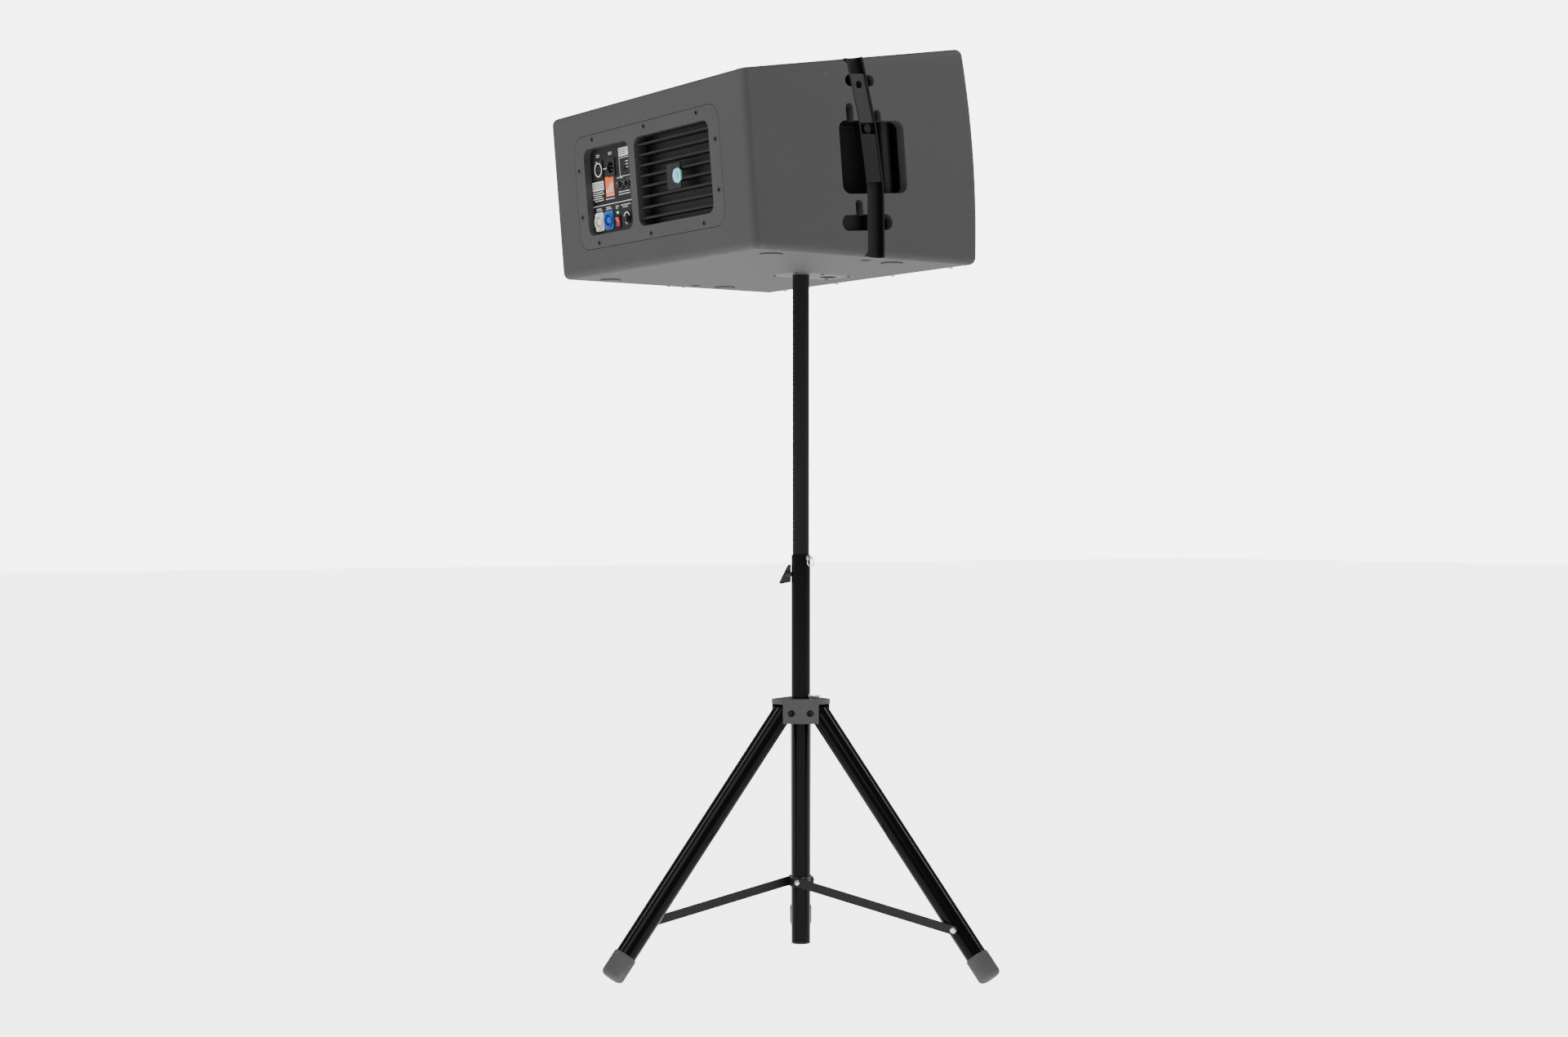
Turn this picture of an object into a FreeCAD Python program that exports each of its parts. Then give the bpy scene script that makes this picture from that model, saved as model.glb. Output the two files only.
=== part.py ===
"""PA speaker on a folding tripod stand, modelled as separate pieces.

Frame: millimetres, +Z up, origin on the ground under the pole. The grille faces -Y and the amplifier +Y.
The cabinet is a symmetric wedge whose underside is level, so its own frame leans back by the wedge angle.
"""
import FreeCAD, Part
import math
import os
import re

import Sketcher

V = FreeCAD.Vector

# Every driving size, in millimetres and degrees.
SIZES = {
    # cabinet box
    "cab_width": 597, "cab_front_height": 349, "cab_depth": 433, "cab_wedge": 5, "cab_wall": 18,
    "cab_edge_radius": 12, "front_bulge": 11, "under_height": 1160, "pole_from_back": 293,
    # grille, baffle and loudspeakers
    "grille_sheet": 1.5, "grille_side_gap": 1, "grille_border": 21, "grille_flange": 15,
    "baffle_set_back": 30, "baffle_thickness": 18, "woofer_offset": 122, "woofer_radius": 152,
    "basket_radius": 132, "cone_radius": 119, "basket_depth": 104, "basket_back_radius": 62,
    "coil_radius": 38, "cone_depth": 48, "magnet_radius": 65, "magnet_thickness": 43,
    "sheet_thickness": 1.2, "horn_offset": 150, "horn_width": 190, "horn_height": 276, "horn_depth": 78,
    "slot_width": 26, "slot_height": 250, "horn_wall": 3, "driver_radius": 43, "driver_length": 50,
    "driver_pitch": 89, "throat_radius": 12.5,
    # amplifier panel in the back
    "panel_width": 446, "panel_height": 188, "panel_radius": 26, "panel_sheet": 4, "panel_gap": 0.8,
    "bay_height": 144, "bay_edge": 193, "bay_gap": 19, "input_width": 144, "bay_radius": 15,
    "collar_depth": 24, "collar_wall": 3, "input_set_back": 12.5, "input_sheet": 2.5, "fin_pitch": 17,
    "fin_thickness": 3.5, "fin_height": 20, "sink_plate": 5, "badge_side": 40, "screw_head_radius": 4,
    "screw_head": 1.6, "screw_radius": 2, "screw_length": 12, "screw_column": 162, "screw_middle": -4,
    "screw_row": 39,
    # things on the input panel
    "flange_width": 26, "flange_height": 31, "flange_sheet": 2, "barrel_radius": 11.8, "barrel_length": 16,
    "plug_radius": 9.4, "plug_depth": 14, "pin_radius": 1.2, "knob_radius": 7.5, "knob_height": 9,
    "trim_radius": 6, "shaft_radius": 3, "running_gap": 0.05, "slide_travel": 6, "rocker_width": 10,
    "rocker_height": 15, "rocker_tilt": 7, "button_radius": 4.5, "part_gap": 0.4, "board_half": 62,
    "board_sheet": 1.6,
    # rigging rails and handles in the sides
    "rail_width": 33, "rail_depth": 12, "rail_web": 2.5, "rail_wall": 2.5, "rail_top": -213,
    "rail_upper": -230, "rail_lower": -236.5, "rail_foot": -229, "upper_bend": 48, "lower_bend": -45,
    "rail_end": 150, "link_thickness": 7, "link_bottom": 54, "link_top": 130, "link_pin_radius": 6.5,
    "link_hole_drop": 17, "link_hole_radius": 6, "keeper_top": 36, "keeper_bottom": -39,
    "handle_front": -299, "handle_back": -173, "handle_half_height": 57, "handle_radius": 14,
    "cup_depth": 58, "cup_front": -318, "cup_back": -160, "cup_wall": 3, "cup_flange": 6,
    "cup_flange_height": 252, "grip_radius": 11, "grip_centre": -281, "grip_depth": 32, "slot_radius": 7,
    "upper_finger_centre": -219.5, "upper_finger_level": 119, "upper_finger_width": 56,
    "upper_finger_height": 18, "lower_finger_centre": -216, "lower_finger_level": -102,
    "lower_finger_width": 98, "lower_finger_height": 25,
    # underside
    "socket_depth": 62, "socket_wall": 3.5, "plate_width": 80, "plate_front": -84, "plate_back": 40,
    "plate_sheet": 3, "second_socket": -56, "second_lean": 5, "pad_radius": 17.5, "pad_height": 2,
    "pad_side": 245, "pad_rear": 66, "pad_front": 300,
    # stand: pole, tube and hub
    "pole_radius": 14, "pole_bore": 12, "pole_bottom": 535, "tube_radius": 16, "slide_gap": 0.1,
    "tube_bottom": 37.5, "tube_top": 689, "plug_height": 18, "plug_flange": 3, "knob_level": 656,
    "clamp_radius": 4, "pin_level": 684, "lock_pin_radius": 2.4, "lock_pin_reach": 12, "hub_pin_reach": 22,
    "hub_pin_rise": 4.5, "ring_radius": 7, "ring_wire": 0.9, "disc_radius": 50, "disc_top": 447,
    "disc_thickness": 8, "hub_bottom": 406.5, "hub_face": 38.5, "hub_face_half": 30, "leg_slot_half": 18.3,
    "pivot_radius": 32.5, "pivot_level": 424, "bolt_radius": 3, "bolt_half": 20, "bolt_head_radius": 5,
    "bolt_head": 3.5, "bolt_recess_radius": 5.6,
    # stand: legs, collar and braces
    "leg_radius": 17.5, "leg_wall": 1.5, "leg_offset": 2.6, "leg_spread": 37.4, "leg_azimuth": -34.9,
    "head_radius": 14.5, "head_length": 22, "foot_radius": 19.75, "foot_length": 44, "foot_round": 8,
    "foot_flat": 1.2, "collar_level": 139, "collar_half": 9, "collar_radius": 18, "collar_flat": 17.3,
    "brace_inner": 5, "brace_plane": 18.3, "brace_thickness": 3, "brace_half": 7.4, "rivet_radius": 3,
    "rivet_head_radius": 4.5, "rivet_head": 1.5, "brace_along": 430,
}

doc = FreeCAD.newDocument("PaSpeaker")
sheet = doc.addObject("Spreadsheet::Sheet", "Dims")
for row, (word, size) in enumerate(SIZES.items(), 1):
    sheet.set(f"A{row}", word)
    sheet.set(f"B{row}", str(size))
    sheet.setAlias(f"B{row}", word)
doc.recompute()


def dome(half_width, rise):
    """The radius of an arc by its half width and its rise."""
    return f"((({half_width})^2 + ({rise})^2) / (2 * ({rise})))"


# Sizes that follow from the driving ones, as expressions.
BACK_HEIGHT = "(cab_front_height - 2 * cab_depth * tan(cab_wedge))"
FRONT_ARC = dome("cab_front_height / 2", "front_bulge")
GRILLE_WIDTH = "(cab_width - 2 * grille_border)"
BAFFLE_FACE = "(baffle_set_back - cab_depth)"
BAY_CENTRE = "(bay_edge - input_width / 2)"
SINK_WIDTH = "(2 * bay_edge - input_width - bay_gap)"
SINK_CENTRE = f"(0 - bay_edge + {SINK_WIDTH} / 2)"
SOCKET_RADIUS = "(pole_radius + running_gap)"


# ---------------------------------------------------------------- expressions and shared objects
def tie(text):
    """An expression on the sheet, from one written with bare size names."""
    return re.sub(r"[a-z_]+", lambda word: "Dims." + word[0] if word[0] in SIZES else word[0], str(text))


def value(text):
    """What such an expression comes to now."""
    return float(sheet.evalExpression(str(text)))


def bind(thing, **expressions):
    """Tie properties of an object, written with _ for the dot of a sub-property."""
    for name, text in expressions.items():
        thing.setExpression(name.replace("_", "."), tie(text))


def place(thing, at=(0, 0, 0), axis=(0, 0, 1), angle=None):
    """Put an object at a point, each coordinate an expression, turned about an axis by an expression."""
    turn = FreeCAD.Rotation(V(*axis), value(angle)) if angle is not None else FreeCAD.Rotation()
    thing.Placement = FreeCAD.Placement(V(*(value(text) for text in at)), turn)
    for letter, text in zip("xyz", at):
        thing.setExpression("Placement.Base." + letter, tie(text))
    if angle is not None:
        thing.setExpression("Placement.Rotation.Angle", tie(angle))
    return thing


# How a piece faces in the leaning cabinet: the turn that takes its own Z axis there.
FACING = {
    "level": ((-1, 0, 0), "cab_wedge"),
    "front": ((1, 0, 0), "90 - cab_wedge"),
    "back": ((-1, 0, 0), "90 + cab_wedge"),
}


def in_cabinet(thing, at=(0, 0, 0), facing="level"):
    """Place a piece in the cabinet's own frame: origin mid-height of the back, y forward is negative."""
    side, back, up = at
    axis, angle = FACING[facing]
    y = f"pole_from_back + ({BACK_HEIGHT} / 2 + ({up})) * sin(cab_wedge) + ({back}) * cos(cab_wedge)"
    z = f"under_height + ({BACK_HEIGHT} / 2 + ({up})) * cos(cab_wedge) - ({back}) * sin(cab_wedge)"
    return place(thing, (side, y, z), axis, angle)


def inner_half(back):
    """Half the clear height inside the cabinet at a distance behind (+) the back face."""
    return f"({BACK_HEIGHT} / 2 - ({back}) * tan(cab_wedge) - cab_wall / cos(cab_wedge))"


# ---------------------------------------------------------------- sketched bodies
def new_body(label):
    body = doc.addObject("PartDesign::Body", label)
    body.Label = label
    return body


def new_sketch(body, plane, offset="0"):
    """A sketch on one of the body's own planes, moved along its normal."""
    sketch = body.newObject("Sketcher::SketchObject", body.Name + "_sketch")
    support = next(f for f in body.Origin.OriginFeatures if f.Role == plane + "_Plane")
    sketch.AttachmentSupport = (support, "")
    sketch.MapMode = "FlatFace"
    sketch.setExpression("AttachmentOffset.Base.z", tie(offset))
    return sketch


def pin_point(sketch, curve, end, x, y):
    """Tie one point of a curve to coordinates given as expressions."""
    for kind, text in (("DistanceX", x), ("DistanceY", y)):
        number = sketch.addConstraint(Sketcher.Constraint(kind, -1, 1, curve, end, value(text)))
        sketch.setExpression(f"Constraints[{number}]", tie(text))


def outline(sketch, corners, arcs=None):
    """A closed outline through corners. arcs gives an edge's radius, and 1 to bulge right or -1 left."""
    arcs = arcs or {}
    points = [V(value(x), value(y), 0) for x, y in corners]
    count = len(points)
    first = sketch.GeometryCount
    for index, start in enumerate(points):
        end = points[(index + 1) % count]
        if index in arcs:
            radius, side = value(arcs[index][0]), arcs[index][1]
            chord = end - start
            rise = radius - math.sqrt(max(radius ** 2 - chord.Length ** 2 / 4, 0))
            middle = (start + end) / 2 + V(chord.y, -chord.x, 0).normalize() * rise * side
            sketch.addGeometry(Part.Arc(start, middle, end))
        else:
            sketch.addGeometry(Part.LineSegment(start, end))
    # An arc turns anticlockwise in a sketch, so one that bulges left starts at its far end.
    starts = [2 if index in arcs and arcs[index][1] < 0 else 1 for index in range(count)]
    for index in range(count):
        after = (index + 1) % count
        sketch.addConstraint(Sketcher.Constraint(
            "Coincident", first + index, 3 - starts[index], first + after, starts[after]))
        pin_point(sketch, first + index, starts[index], *corners[index])
        if index in arcs:
            number = sketch.addConstraint(Sketcher.Constraint("Radius", first + index, value(arcs[index][0])))
            sketch.setExpression(f"Constraints[{number}]", tie(arcs[index][0]))


def rounded(sketch, x, y, width, height, radius):
    """A rectangle about a centre, with rounded corners."""
    left, right = f"({x}) - ({width}) / 2", f"({x}) + ({width}) / 2"
    low, high = f"({y}) - ({height}) / 2", f"({y}) + ({height}) / 2"
    corners = [
        (f"{left} + ({radius})", low), (f"{right} - ({radius})", low),
        (right, f"{low} + ({radius})"), (right, f"{high} - ({radius})"),
        (f"{right} - ({radius})", high), (f"{left} + ({radius})", high),
        (left, f"{high} - ({radius})"), (left, f"{low} + ({radius})"),
    ]
    outline(sketch, corners, {edge: (radius, 1) for edge in (1, 3, 5, 7)})


def rectangle(sketch, left, right, low, high):
    outline(sketch, [(left, low), (right, low), (right, high), (left, high)])


def circle(sketch, x, y, radius):
    curve = sketch.addGeometry(Part.Circle(V(value(x), value(y), 0), V(0, 0, 1), value(radius)))
    pin_point(sketch, curve, 3, x, y)
    number = sketch.addConstraint(Sketcher.Constraint("Radius", curve, value(radius)))
    sketch.setExpression(f"Constraints[{number}]", tie(radius))


def both_ways(body, kind, sketch, length):
    """A pad or pocket of a whole length, centred on its sketch."""
    feature = body.newObject("PartDesign::" + kind, f"{body.Name}_{kind.lower()}")
    feature.Profile = sketch
    feature.SideType = "Symmetric"
    feature.setExpression("Length", tie(length))
    sketch.Visibility = False
    return feature


def pad(body, plane, low, high, draw):
    """Draw a profile on a plane and pad it between two offsets along the plane's normal."""
    sketch = new_sketch(body, plane, f"(({low}) + ({high})) / 2")
    draw(sketch)
    return both_ways(body, "Pad", sketch, f"({high}) - ({low})")


def pocket(body, plane, low, high, draw):
    """Draw a profile on a plane and cut it out between two offsets along the plane's normal."""
    sketch = new_sketch(body, plane, f"(({low}) + ({high})) / 2")
    draw(sketch)
    return both_ways(body, "Pocket", sketch, f"({high}) - ({low})")


def turned(label, corners, arcs=None):
    """A body turned about Z from an outline of (radius, height) corners."""
    body = new_body(label)
    sketch = new_sketch(body, "XZ")
    outline(sketch, corners, arcs)
    revolve = body.newObject("PartDesign::Revolution", label + "_turn")
    revolve.Profile = sketch
    revolve.ReferenceAxis = (sketch, ["V_Axis"])
    revolve.Angle = 360
    return body


def edge_names(shape, wanted):
    """The names of the edges whose middle and direction pass a test."""
    names = []
    for number, edge in enumerate(shape.Edges, 1):
        middle = edge.valueAt((edge.FirstParameter + edge.LastParameter) / 2)
        if wanted(edge, middle):
            names.append(f"Edge{number}")
    return names


def round_edges(body, feature, radius, wanted=lambda edge, middle: True):
    doc.recompute()
    fillet = body.newObject("PartDesign::Fillet", body.Name + "_fillet")
    fillet.Base = (feature, edge_names(feature.Shape, wanted))
    fillet.setExpression("Radius", tie(radius))
    return fillet


# ---------------------------------------------------------------- primitives and booleans
ALONG = {
    "Z": FreeCAD.Rotation(),
    "X": FreeCAD.Rotation(V(0, 1, 0), 90),
    "Y": FreeCAD.Rotation(V(1, 0, 0), -90),
}


def cylinder(name, radius, length, at=(0, 0, 0), along="Z"):
    thing = doc.addObject("Part::Cylinder", name)
    bind(thing, Radius=radius, Height=length)
    place(thing, at)
    thing.Placement.Rotation = ALONG[along]
    return thing


def block(name, low, high):
    """A box between two corners."""
    thing = doc.addObject("Part::Box", name)
    sizes = [f"({b}) - ({a})" for a, b in zip(low, high)]
    bind(thing, Length=sizes[0], Width=sizes[1], Height=sizes[2])
    return place(thing, low)


def cut(label, base, *tools):
    thing = doc.addObject("Part::Cut", label)
    thing.Label = label
    thing.Base = base
    thing.Tool = tools[0] if len(tools) == 1 else group(label + "_tools", tools)
    return thing


def group(label, things):
    thing = doc.addObject("Part::Compound", label)
    thing.Label = label
    thing.Links = list(things)
    return thing


# ---------------------------------------------------------------- grille and cabinet box
def grille_body(label, width):
    """The curved front sheet with its top and bottom flanges, as wide as given."""
    flange_y = "(grille_flange * cos(cab_wedge) - cab_depth)"
    half = "cab_front_height / 2"
    skin_z = f"({half} - grille_flange * sin(cab_wedge))"
    under_skin = f"({skin_z} - grille_sheet / cos(cab_wedge))"
    inner_y = "(grille_sheet - cab_depth)"
    inner_z = f"({half} - grille_sheet * (1 + tan(cab_wedge)))"
    corners = [
        (flange_y, under_skin), (flange_y, skin_z), ("0 - cab_depth", half), ("0 - cab_depth", f"0 - {half}"),
        (flange_y, f"0 - {skin_z}"), (flange_y, f"0 - {under_skin}"), (inner_y, f"0 - {inner_z}"),
        (inner_y, inner_z),
    ]
    body = new_body(label)
    arcs = {2: (FRONT_ARC, 1), 6: (FRONT_ARC, -1)}
    sheet_pad = pad(body, "YZ", f"0 - ({width}) / 2", f"({width}) / 2", lambda s: outline(s, corners, arcs))
    inset = SIZES["grille_sheet"]

    def along_x_near(y):
        return lambda edge, mid: abs(mid.x) < 1 and abs(mid.y - y) < 0.2 and edge.Length > value(width) * 0.9

    outer = round_edges(body, sheet_pad, "cab_edge_radius", along_x_near(-SIZES["cab_depth"]))
    round_edges(body, outer, "cab_edge_radius - grille_sheet", along_x_near(inset - SIZES["cab_depth"]))
    return in_cabinet(body)


def rail_band(sketch, half_width, low="(0 - cab_front_height)", high="cab_front_height"):
    """The bent strip that a rail follows up the cabinet's side, run on past both ends."""
    top_slope = "((rail_top - rail_upper) / (rail_end - upper_bend))"
    low_slope = "((rail_foot - rail_lower) / (rail_end + lower_bend))"
    line = [
        (f"rail_lower + {low_slope} * (lower_bend - ({low}))", low), ("rail_lower", "lower_bend"),
        ("rail_upper", "upper_bend"), (f"rail_upper + {top_slope} * (({high}) - upper_bend)", high),
    ]
    right = [(f"{y} + ({half_width})", z) for y, z in line]
    left = [(f"{y} - ({half_width})", z) for y, z in reversed(line)]
    outline(sketch, right + left)


def wedge_outline(sketch):
    half_front, half_back = "cab_front_height / 2", f"{BACK_HEIGHT} / 2"
    corners = [(0, f"0 - {half_back}"), (0, half_back), ("0 - cab_depth", half_front),
               ("0 - cab_depth", f"0 - {half_front}")]
    outline(sketch, corners, {2: (FRONT_ARC, 1)})


def side_openings(sketch):
    """Handle opening and the finger slots round the rail, cut through both sides."""
    middle = "(handle_front + handle_back) / 2"
    rounded(sketch, middle, 0, "handle_back - handle_front", "2 * handle_half_height", "handle_radius")
    for name in ("upper_finger", "lower_finger"):
        rounded(sketch, f"{name}_centre", f"{name}_level", f"{name}_width", f"{name}_height",
                f"{name}_height / 2 - 0.1")


def finger_slots(sketch):
    """The short upright slots that run into the openings."""
    for across, low, high in ((-196, 50, 84), (-249, 50, 74), (-202, -94, -66)):
        rounded(sketch, across, (low + high) / 2, "2 * slot_radius", high - low, "slot_radius - 0.1")


def cabinet_shell(grille_seat, rail_seats, deck_tools, screws):
    body = new_body("shell_box")
    half = "cab_width / 2"
    box_pad = pad(body, "YZ", f"0 - {half}", half, wedge_outline)
    round_edges(body, box_pad, "cab_edge_radius")
    cavity_front = "(0 - cab_depth - 2 * front_bulge)"

    def cavity(sketch):
        behind, ahead = inner_half("0 - cab_wall"), inner_half(cavity_front)
        outline(sketch, [("0 - cab_wall", f"0 - {behind}"), ("0 - cab_wall", behind), (cavity_front, ahead),
                         (cavity_front, f"0 - {ahead}")])

    pocket(body, "YZ", f"cab_wall - {half}", f"{half} - cab_wall", cavity)
    for draw in (side_openings, finger_slots):
        pocket(body, "YZ", f"0 - {half} - 10", f"{half} + 10", draw)
    pocket(body, "XZ", "0 - 5", "panel_sheet", lambda s: rounded(
        s, 0, 0, "panel_width + 2 * panel_gap", "panel_height + 2 * panel_gap", "panel_radius + panel_gap"))
    pocket(body, "XZ", "0 - 5", "cab_wall + 5", lambda s: rounded(
        s, 0, 0, "2 * bay_edge + 3 * collar_wall", "bay_height + 3 * collar_wall", "bay_radius"))
    in_cabinet(body)
    return cut("cabinet_shell", body, grille_seat, *rail_seats, *deck_tools, screws)


def front_baffle():
    """The board that carries the loudspeakers, cut from the inside of the wedge."""
    body = new_body("front_baffle")
    back = f"({BAFFLE_FACE} + baffle_thickness)"
    front_half, back_half = inner_half(BAFFLE_FACE), inner_half(back)
    half = "(cab_width / 2 - cab_wall)"
    pad(body, "YZ", f"0 - {half}", half, lambda s: outline(s, [
        (BAFFLE_FACE, f"0 - {front_half}"), (back, f"0 - {back_half}"), (back, back_half),
        (BAFFLE_FACE, front_half)]))
    pocket(body, "XZ", 0, "cab_depth", lambda s: circle(s, "woofer_offset", 0, "basket_radius + 2"))
    pocket(body, "XZ", 0, "cab_depth", lambda s: rounded(
        s, "0 - horn_offset", 0, "horn_width + 2 * horn_wall", "horn_height + 2 * horn_wall", 10))
    return in_cabinet(body)


# ---------------------------------------------------------------- loudspeakers
def basket_at(depth):
    """The basket's inner radius at a depth behind the baffle."""
    return f"(basket_radius - (basket_radius - basket_back_radius) * ({depth}) / basket_depth)"


def woofer():
    at = ("woofer_offset", BAFFLE_FACE, 0)
    wall = 3
    frame = turned("woofer_frame", [
        ("basket_radius", 0), ("basket_back_radius", "0 - basket_depth"),
        ("coil_radius + 4", "0 - basket_depth"),
        ("coil_radius + 4", f"0 - basket_depth - {wall}"),
        (f"basket_back_radius + {wall}", f"0 - basket_depth - {wall}"), (f"basket_radius + {wall / 2}", 0),
        ("woofer_radius", 0), ("woofer_radius", 5), ("basket_radius", 5)])
    window = new_sketch(frame, "XY")
    outline(window, [("basket_back_radius + 12", -19), ("basket_radius - 10", -42),
        ("basket_radius - 10", 42),
                     ("basket_back_radius + 12", 19)])
    window_cut = both_ways(frame, "Pocket", window, "2 * basket_depth - 10")
    ring = frame.newObject("PartDesign::PolarPattern", "basket_windows")
    ring.Originals = [window_cut]
    ring.Axis = (window, ["N_Axis"])
    ring.Angle = 360
    ring.Occurrences = 6
    frame.Tip = ring
    edge = "(cone_radius - 1)"
    surround = turned("woofer_surround", [
        (edge, 5), ("basket_radius + 4", 5), ("basket_radius + 4", 6.2), ("basket_radius", 6.2),
        ("cone_radius", 6.2), (edge, 6.2)], {3: ("(basket_radius - cone_radius) * 0.55", 1)})
    lip = "(0 - cone_depth)"
    cone = turned("woofer_cone", [
        ("cone_radius", 5), ("cone_radius - 4", 5), ("coil_radius", lip),
        ("coil_radius", f"{lip} - 2 * sheet_thickness"), ("coil_radius + 3", f"{lip} - 2 * sheet_thickness")])
    cone_slope = "((cone_depth + 5) / (cone_radius - 4 - coil_radius))"
    cap_base = f"({lip} + 4 * {cone_slope})"
    cap_radius = "(coil_radius + 4)"
    edge_rise = f"(1.4 * {cone_slope})"
    cap = turned("dust_cap", [
        (0, f"{cap_base} + 15.2"), (0, f"{cap_base} + 14"), (cap_radius, cap_base),
        (f"{cap_radius} + 1.4", f"{cap_base} + {edge_rise}")],
        {1: (dome(cap_radius, 14), -1), 3: (dome(f"{cap_radius} + 1.4", f"15.2 - {edge_rise}"), 1)})
    top = "(0 - basket_depth - 3)"
    bottom = f"({top} - magnet_thickness)"
    magnet = turned("woofer_magnet", [
        (0, top), ("coil_radius - 1.5", top), ("coil_radius - 1.5", f"{top} - 18"),
        ("coil_radius + 1.5", f"{top} - 18"), ("coil_radius + 1.5", top), ("magnet_radius", top),
        ("magnet_radius", f"{bottom} + 6"), ("magnet_radius - 6", bottom), (0, bottom)])
    pieces = [frame, surround, cone, cap, magnet]
    return [in_cabinet(piece, at, "front") for piece in pieces]


def horn():
    """Waveguide with its flange, and the three compression drivers stacked behind its slot."""
    body = new_body("horn_waveguide")
    pad(body, "XY", 0, "horn_wall + 1", lambda s: rounded(
        s, 0, 0, "horn_width + 24", "horn_height + 22", 8))
    for kind, grow in (("AdditiveLoft", "2 * horn_wall"), ("SubtractiveLoft", "0")):
        past = 1 if kind == "SubtractiveLoft" else 0
        mouth = new_sketch(body, "XY", f"{past} * (horn_wall + 1)")
        rounded(mouth, 0, 0, f"horn_width + {grow}", f"horn_height + {grow}", 10)
        waist = new_sketch(body, "XY", "0 - horn_depth / 2")
        rounded(waist, 0, 0, f"horn_width * 0.42 + {grow}", f"slot_height + 8 + {grow}", 10)
        throat = new_sketch(body, "XY", f"0 - horn_depth - {past}")
        rounded(throat, 0, 0, f"slot_width + {grow}", f"slot_height + {grow}", 10)
        loft = body.newObject("PartDesign::" + kind, "horn_" + kind)
        loft.Profile = mouth
        loft.Sections = [waist, throat]
        loft.Ruled = False
    in_cabinet(body, ("0 - horn_offset", BAFFLE_FACE, 0), "front")
    drivers = []
    for number in (-1, 0, 1):
        neck, back = "(0 - horn_depth)", "(0 - horn_depth - driver_length)"
        driver = turned(f"driver_{number + 2}", [
            ("throat_radius", neck), ("throat_radius + 8", neck), ("throat_radius + 8", f"{neck} - 6"),
            ("driver_radius", f"{neck} - 12"), ("driver_radius", f"{back} + 5"), ("driver_radius - 5", back),
            (0, back), (0, f"{neck} - 20"), ("throat_radius", f"{neck} - 20")])
        at = ("0 - horn_offset", BAFFLE_FACE, f"{number} * driver_pitch")
        drivers.append(in_cabinet(driver, at, "front"))
    return body, group("compression_drivers", drivers)


# ---------------------------------------------------------------- amplifier panel
def panel_screw_places():
    """Ten places round the amplifier panel: three above, three below and two up each side."""
    level, side = "(panel_height / 2 - 8)", "(panel_width / 2 - 12)"
    for across in ("0 - screw_column", "screw_middle", "screw_column"):
        yield across, level
        yield across, f"0 - {level}"
    for up in ("0 - screw_row", "screw_row"):
        yield side, up
        yield f"0 - {side}", up


def screw(name):
    """A pan-head screw: the head above its own z = 0, the shank below."""
    return turned(name, [
        (0, "0 - screw_length"), ("screw_radius", "0 - screw_length"), ("screw_radius", 0),
        ("screw_head_radius", 0), ("screw_head_radius", "screw_head / 3"), (0, "screw_head + 0.4")],
        {4: (dome("screw_head_radius", "screw_head * 2 / 3 + 0.4"), 1)})


def cabinet_screws():
    """The identical screws of the amplifier panel, the grille flanges and the socket plate."""
    screws = []
    for across, up in panel_screw_places():
        screws.append(in_cabinet(screw("panel_screw"), (across, 0, up), "back"))
    flange_y = "(grille_flange * 0.55 - cab_depth)"
    flange_z = "(cab_front_height / 2 - grille_flange * 0.55 * tan(cab_wedge))"
    for across in ("0 - cab_width * 0.4", "0 - cab_width * 0.135", "cab_width * 0.135", "cab_width * 0.4"):
        above = screw("flange_screw")
        in_cabinet(above, (across, flange_y, flange_z), "level")
        above.setExpression("Placement.Rotation.Angle", tie("2 * cab_wedge"))
        below = screw("flange_screw")
        in_cabinet(below, (across, flange_y, f"0 - {flange_z}"), "level")
        below.setExpression("Placement.Rotation.Angle", "180")
        screws += [above, below]
    for along in ("plate_back - 8", "(plate_front + plate_back) / 2", "plate_front + 8"):
        for across in ("8 - plate_width / 2", "plate_width / 2 - 8"):
            screws.append(place(screw("plate_screw"), (across, along, "under_height"), (1, 0, 0), "180"))
    return group("cabinet_screws", screws)


def amp_panel(screws):
    body = new_body("panel_frame")
    pad(body, "XZ", 0, "panel_sheet", lambda s: rounded(
        s, 0, 0, "panel_width", "panel_height", "panel_radius"))
    for centre, width in ((BAY_CENTRE, "input_width"), (SINK_CENTRE, SINK_WIDTH)):
        pad(body, "XZ", "panel_sheet - 1", "collar_depth", lambda s: rounded(
            s, centre, 0, f"{width} + 2 * collar_wall", "bay_height + 2 * collar_wall",
            "bay_radius + collar_wall"))
        pocket(body, "XZ", -5, "collar_depth + 5", lambda s: rounded(
            s, centre, 0, width, "bay_height", "bay_radius"))
    in_cabinet(body)
    return cut("amp_panel", body, screws)


def heat_sink():
    body = new_body("heat_sink")
    margin = 6
    pad(body, "XZ", "collar_depth", "collar_depth + sink_plate", lambda s: rounded(
        s, SINK_CENTRE, 0, f"{SINK_WIDTH} + {margin}", f"bay_height + {margin}", "bay_radius"))
    fins = 8
    fin = new_sketch(body, "XZ", "collar_depth - fin_height / 2 + 0.25")
    low = f"(0 - fin_pitch * {(fins - 1) / 2} - fin_thickness / 2)"
    reach = f"({SINK_WIDTH} / 2 - 3)"
    rectangle(fin, f"{SINK_CENTRE} - {reach}", f"{SINK_CENTRE} + {reach}", low, f"{low} + fin_thickness")
    fin_pad = both_ways(body, "Pad", fin, "fin_height + 0.5")
    row = body.newObject("PartDesign::LinearPattern", "fin_row")
    row.Originals = [fin_pad]
    row.Direction = (fin, ["V_Axis"])
    row.Occurrences = fins
    row.setExpression("Length", tie(f"fin_pitch * {fins - 1}"))
    body.Tip = row
    return in_cabinet(body)


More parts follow.
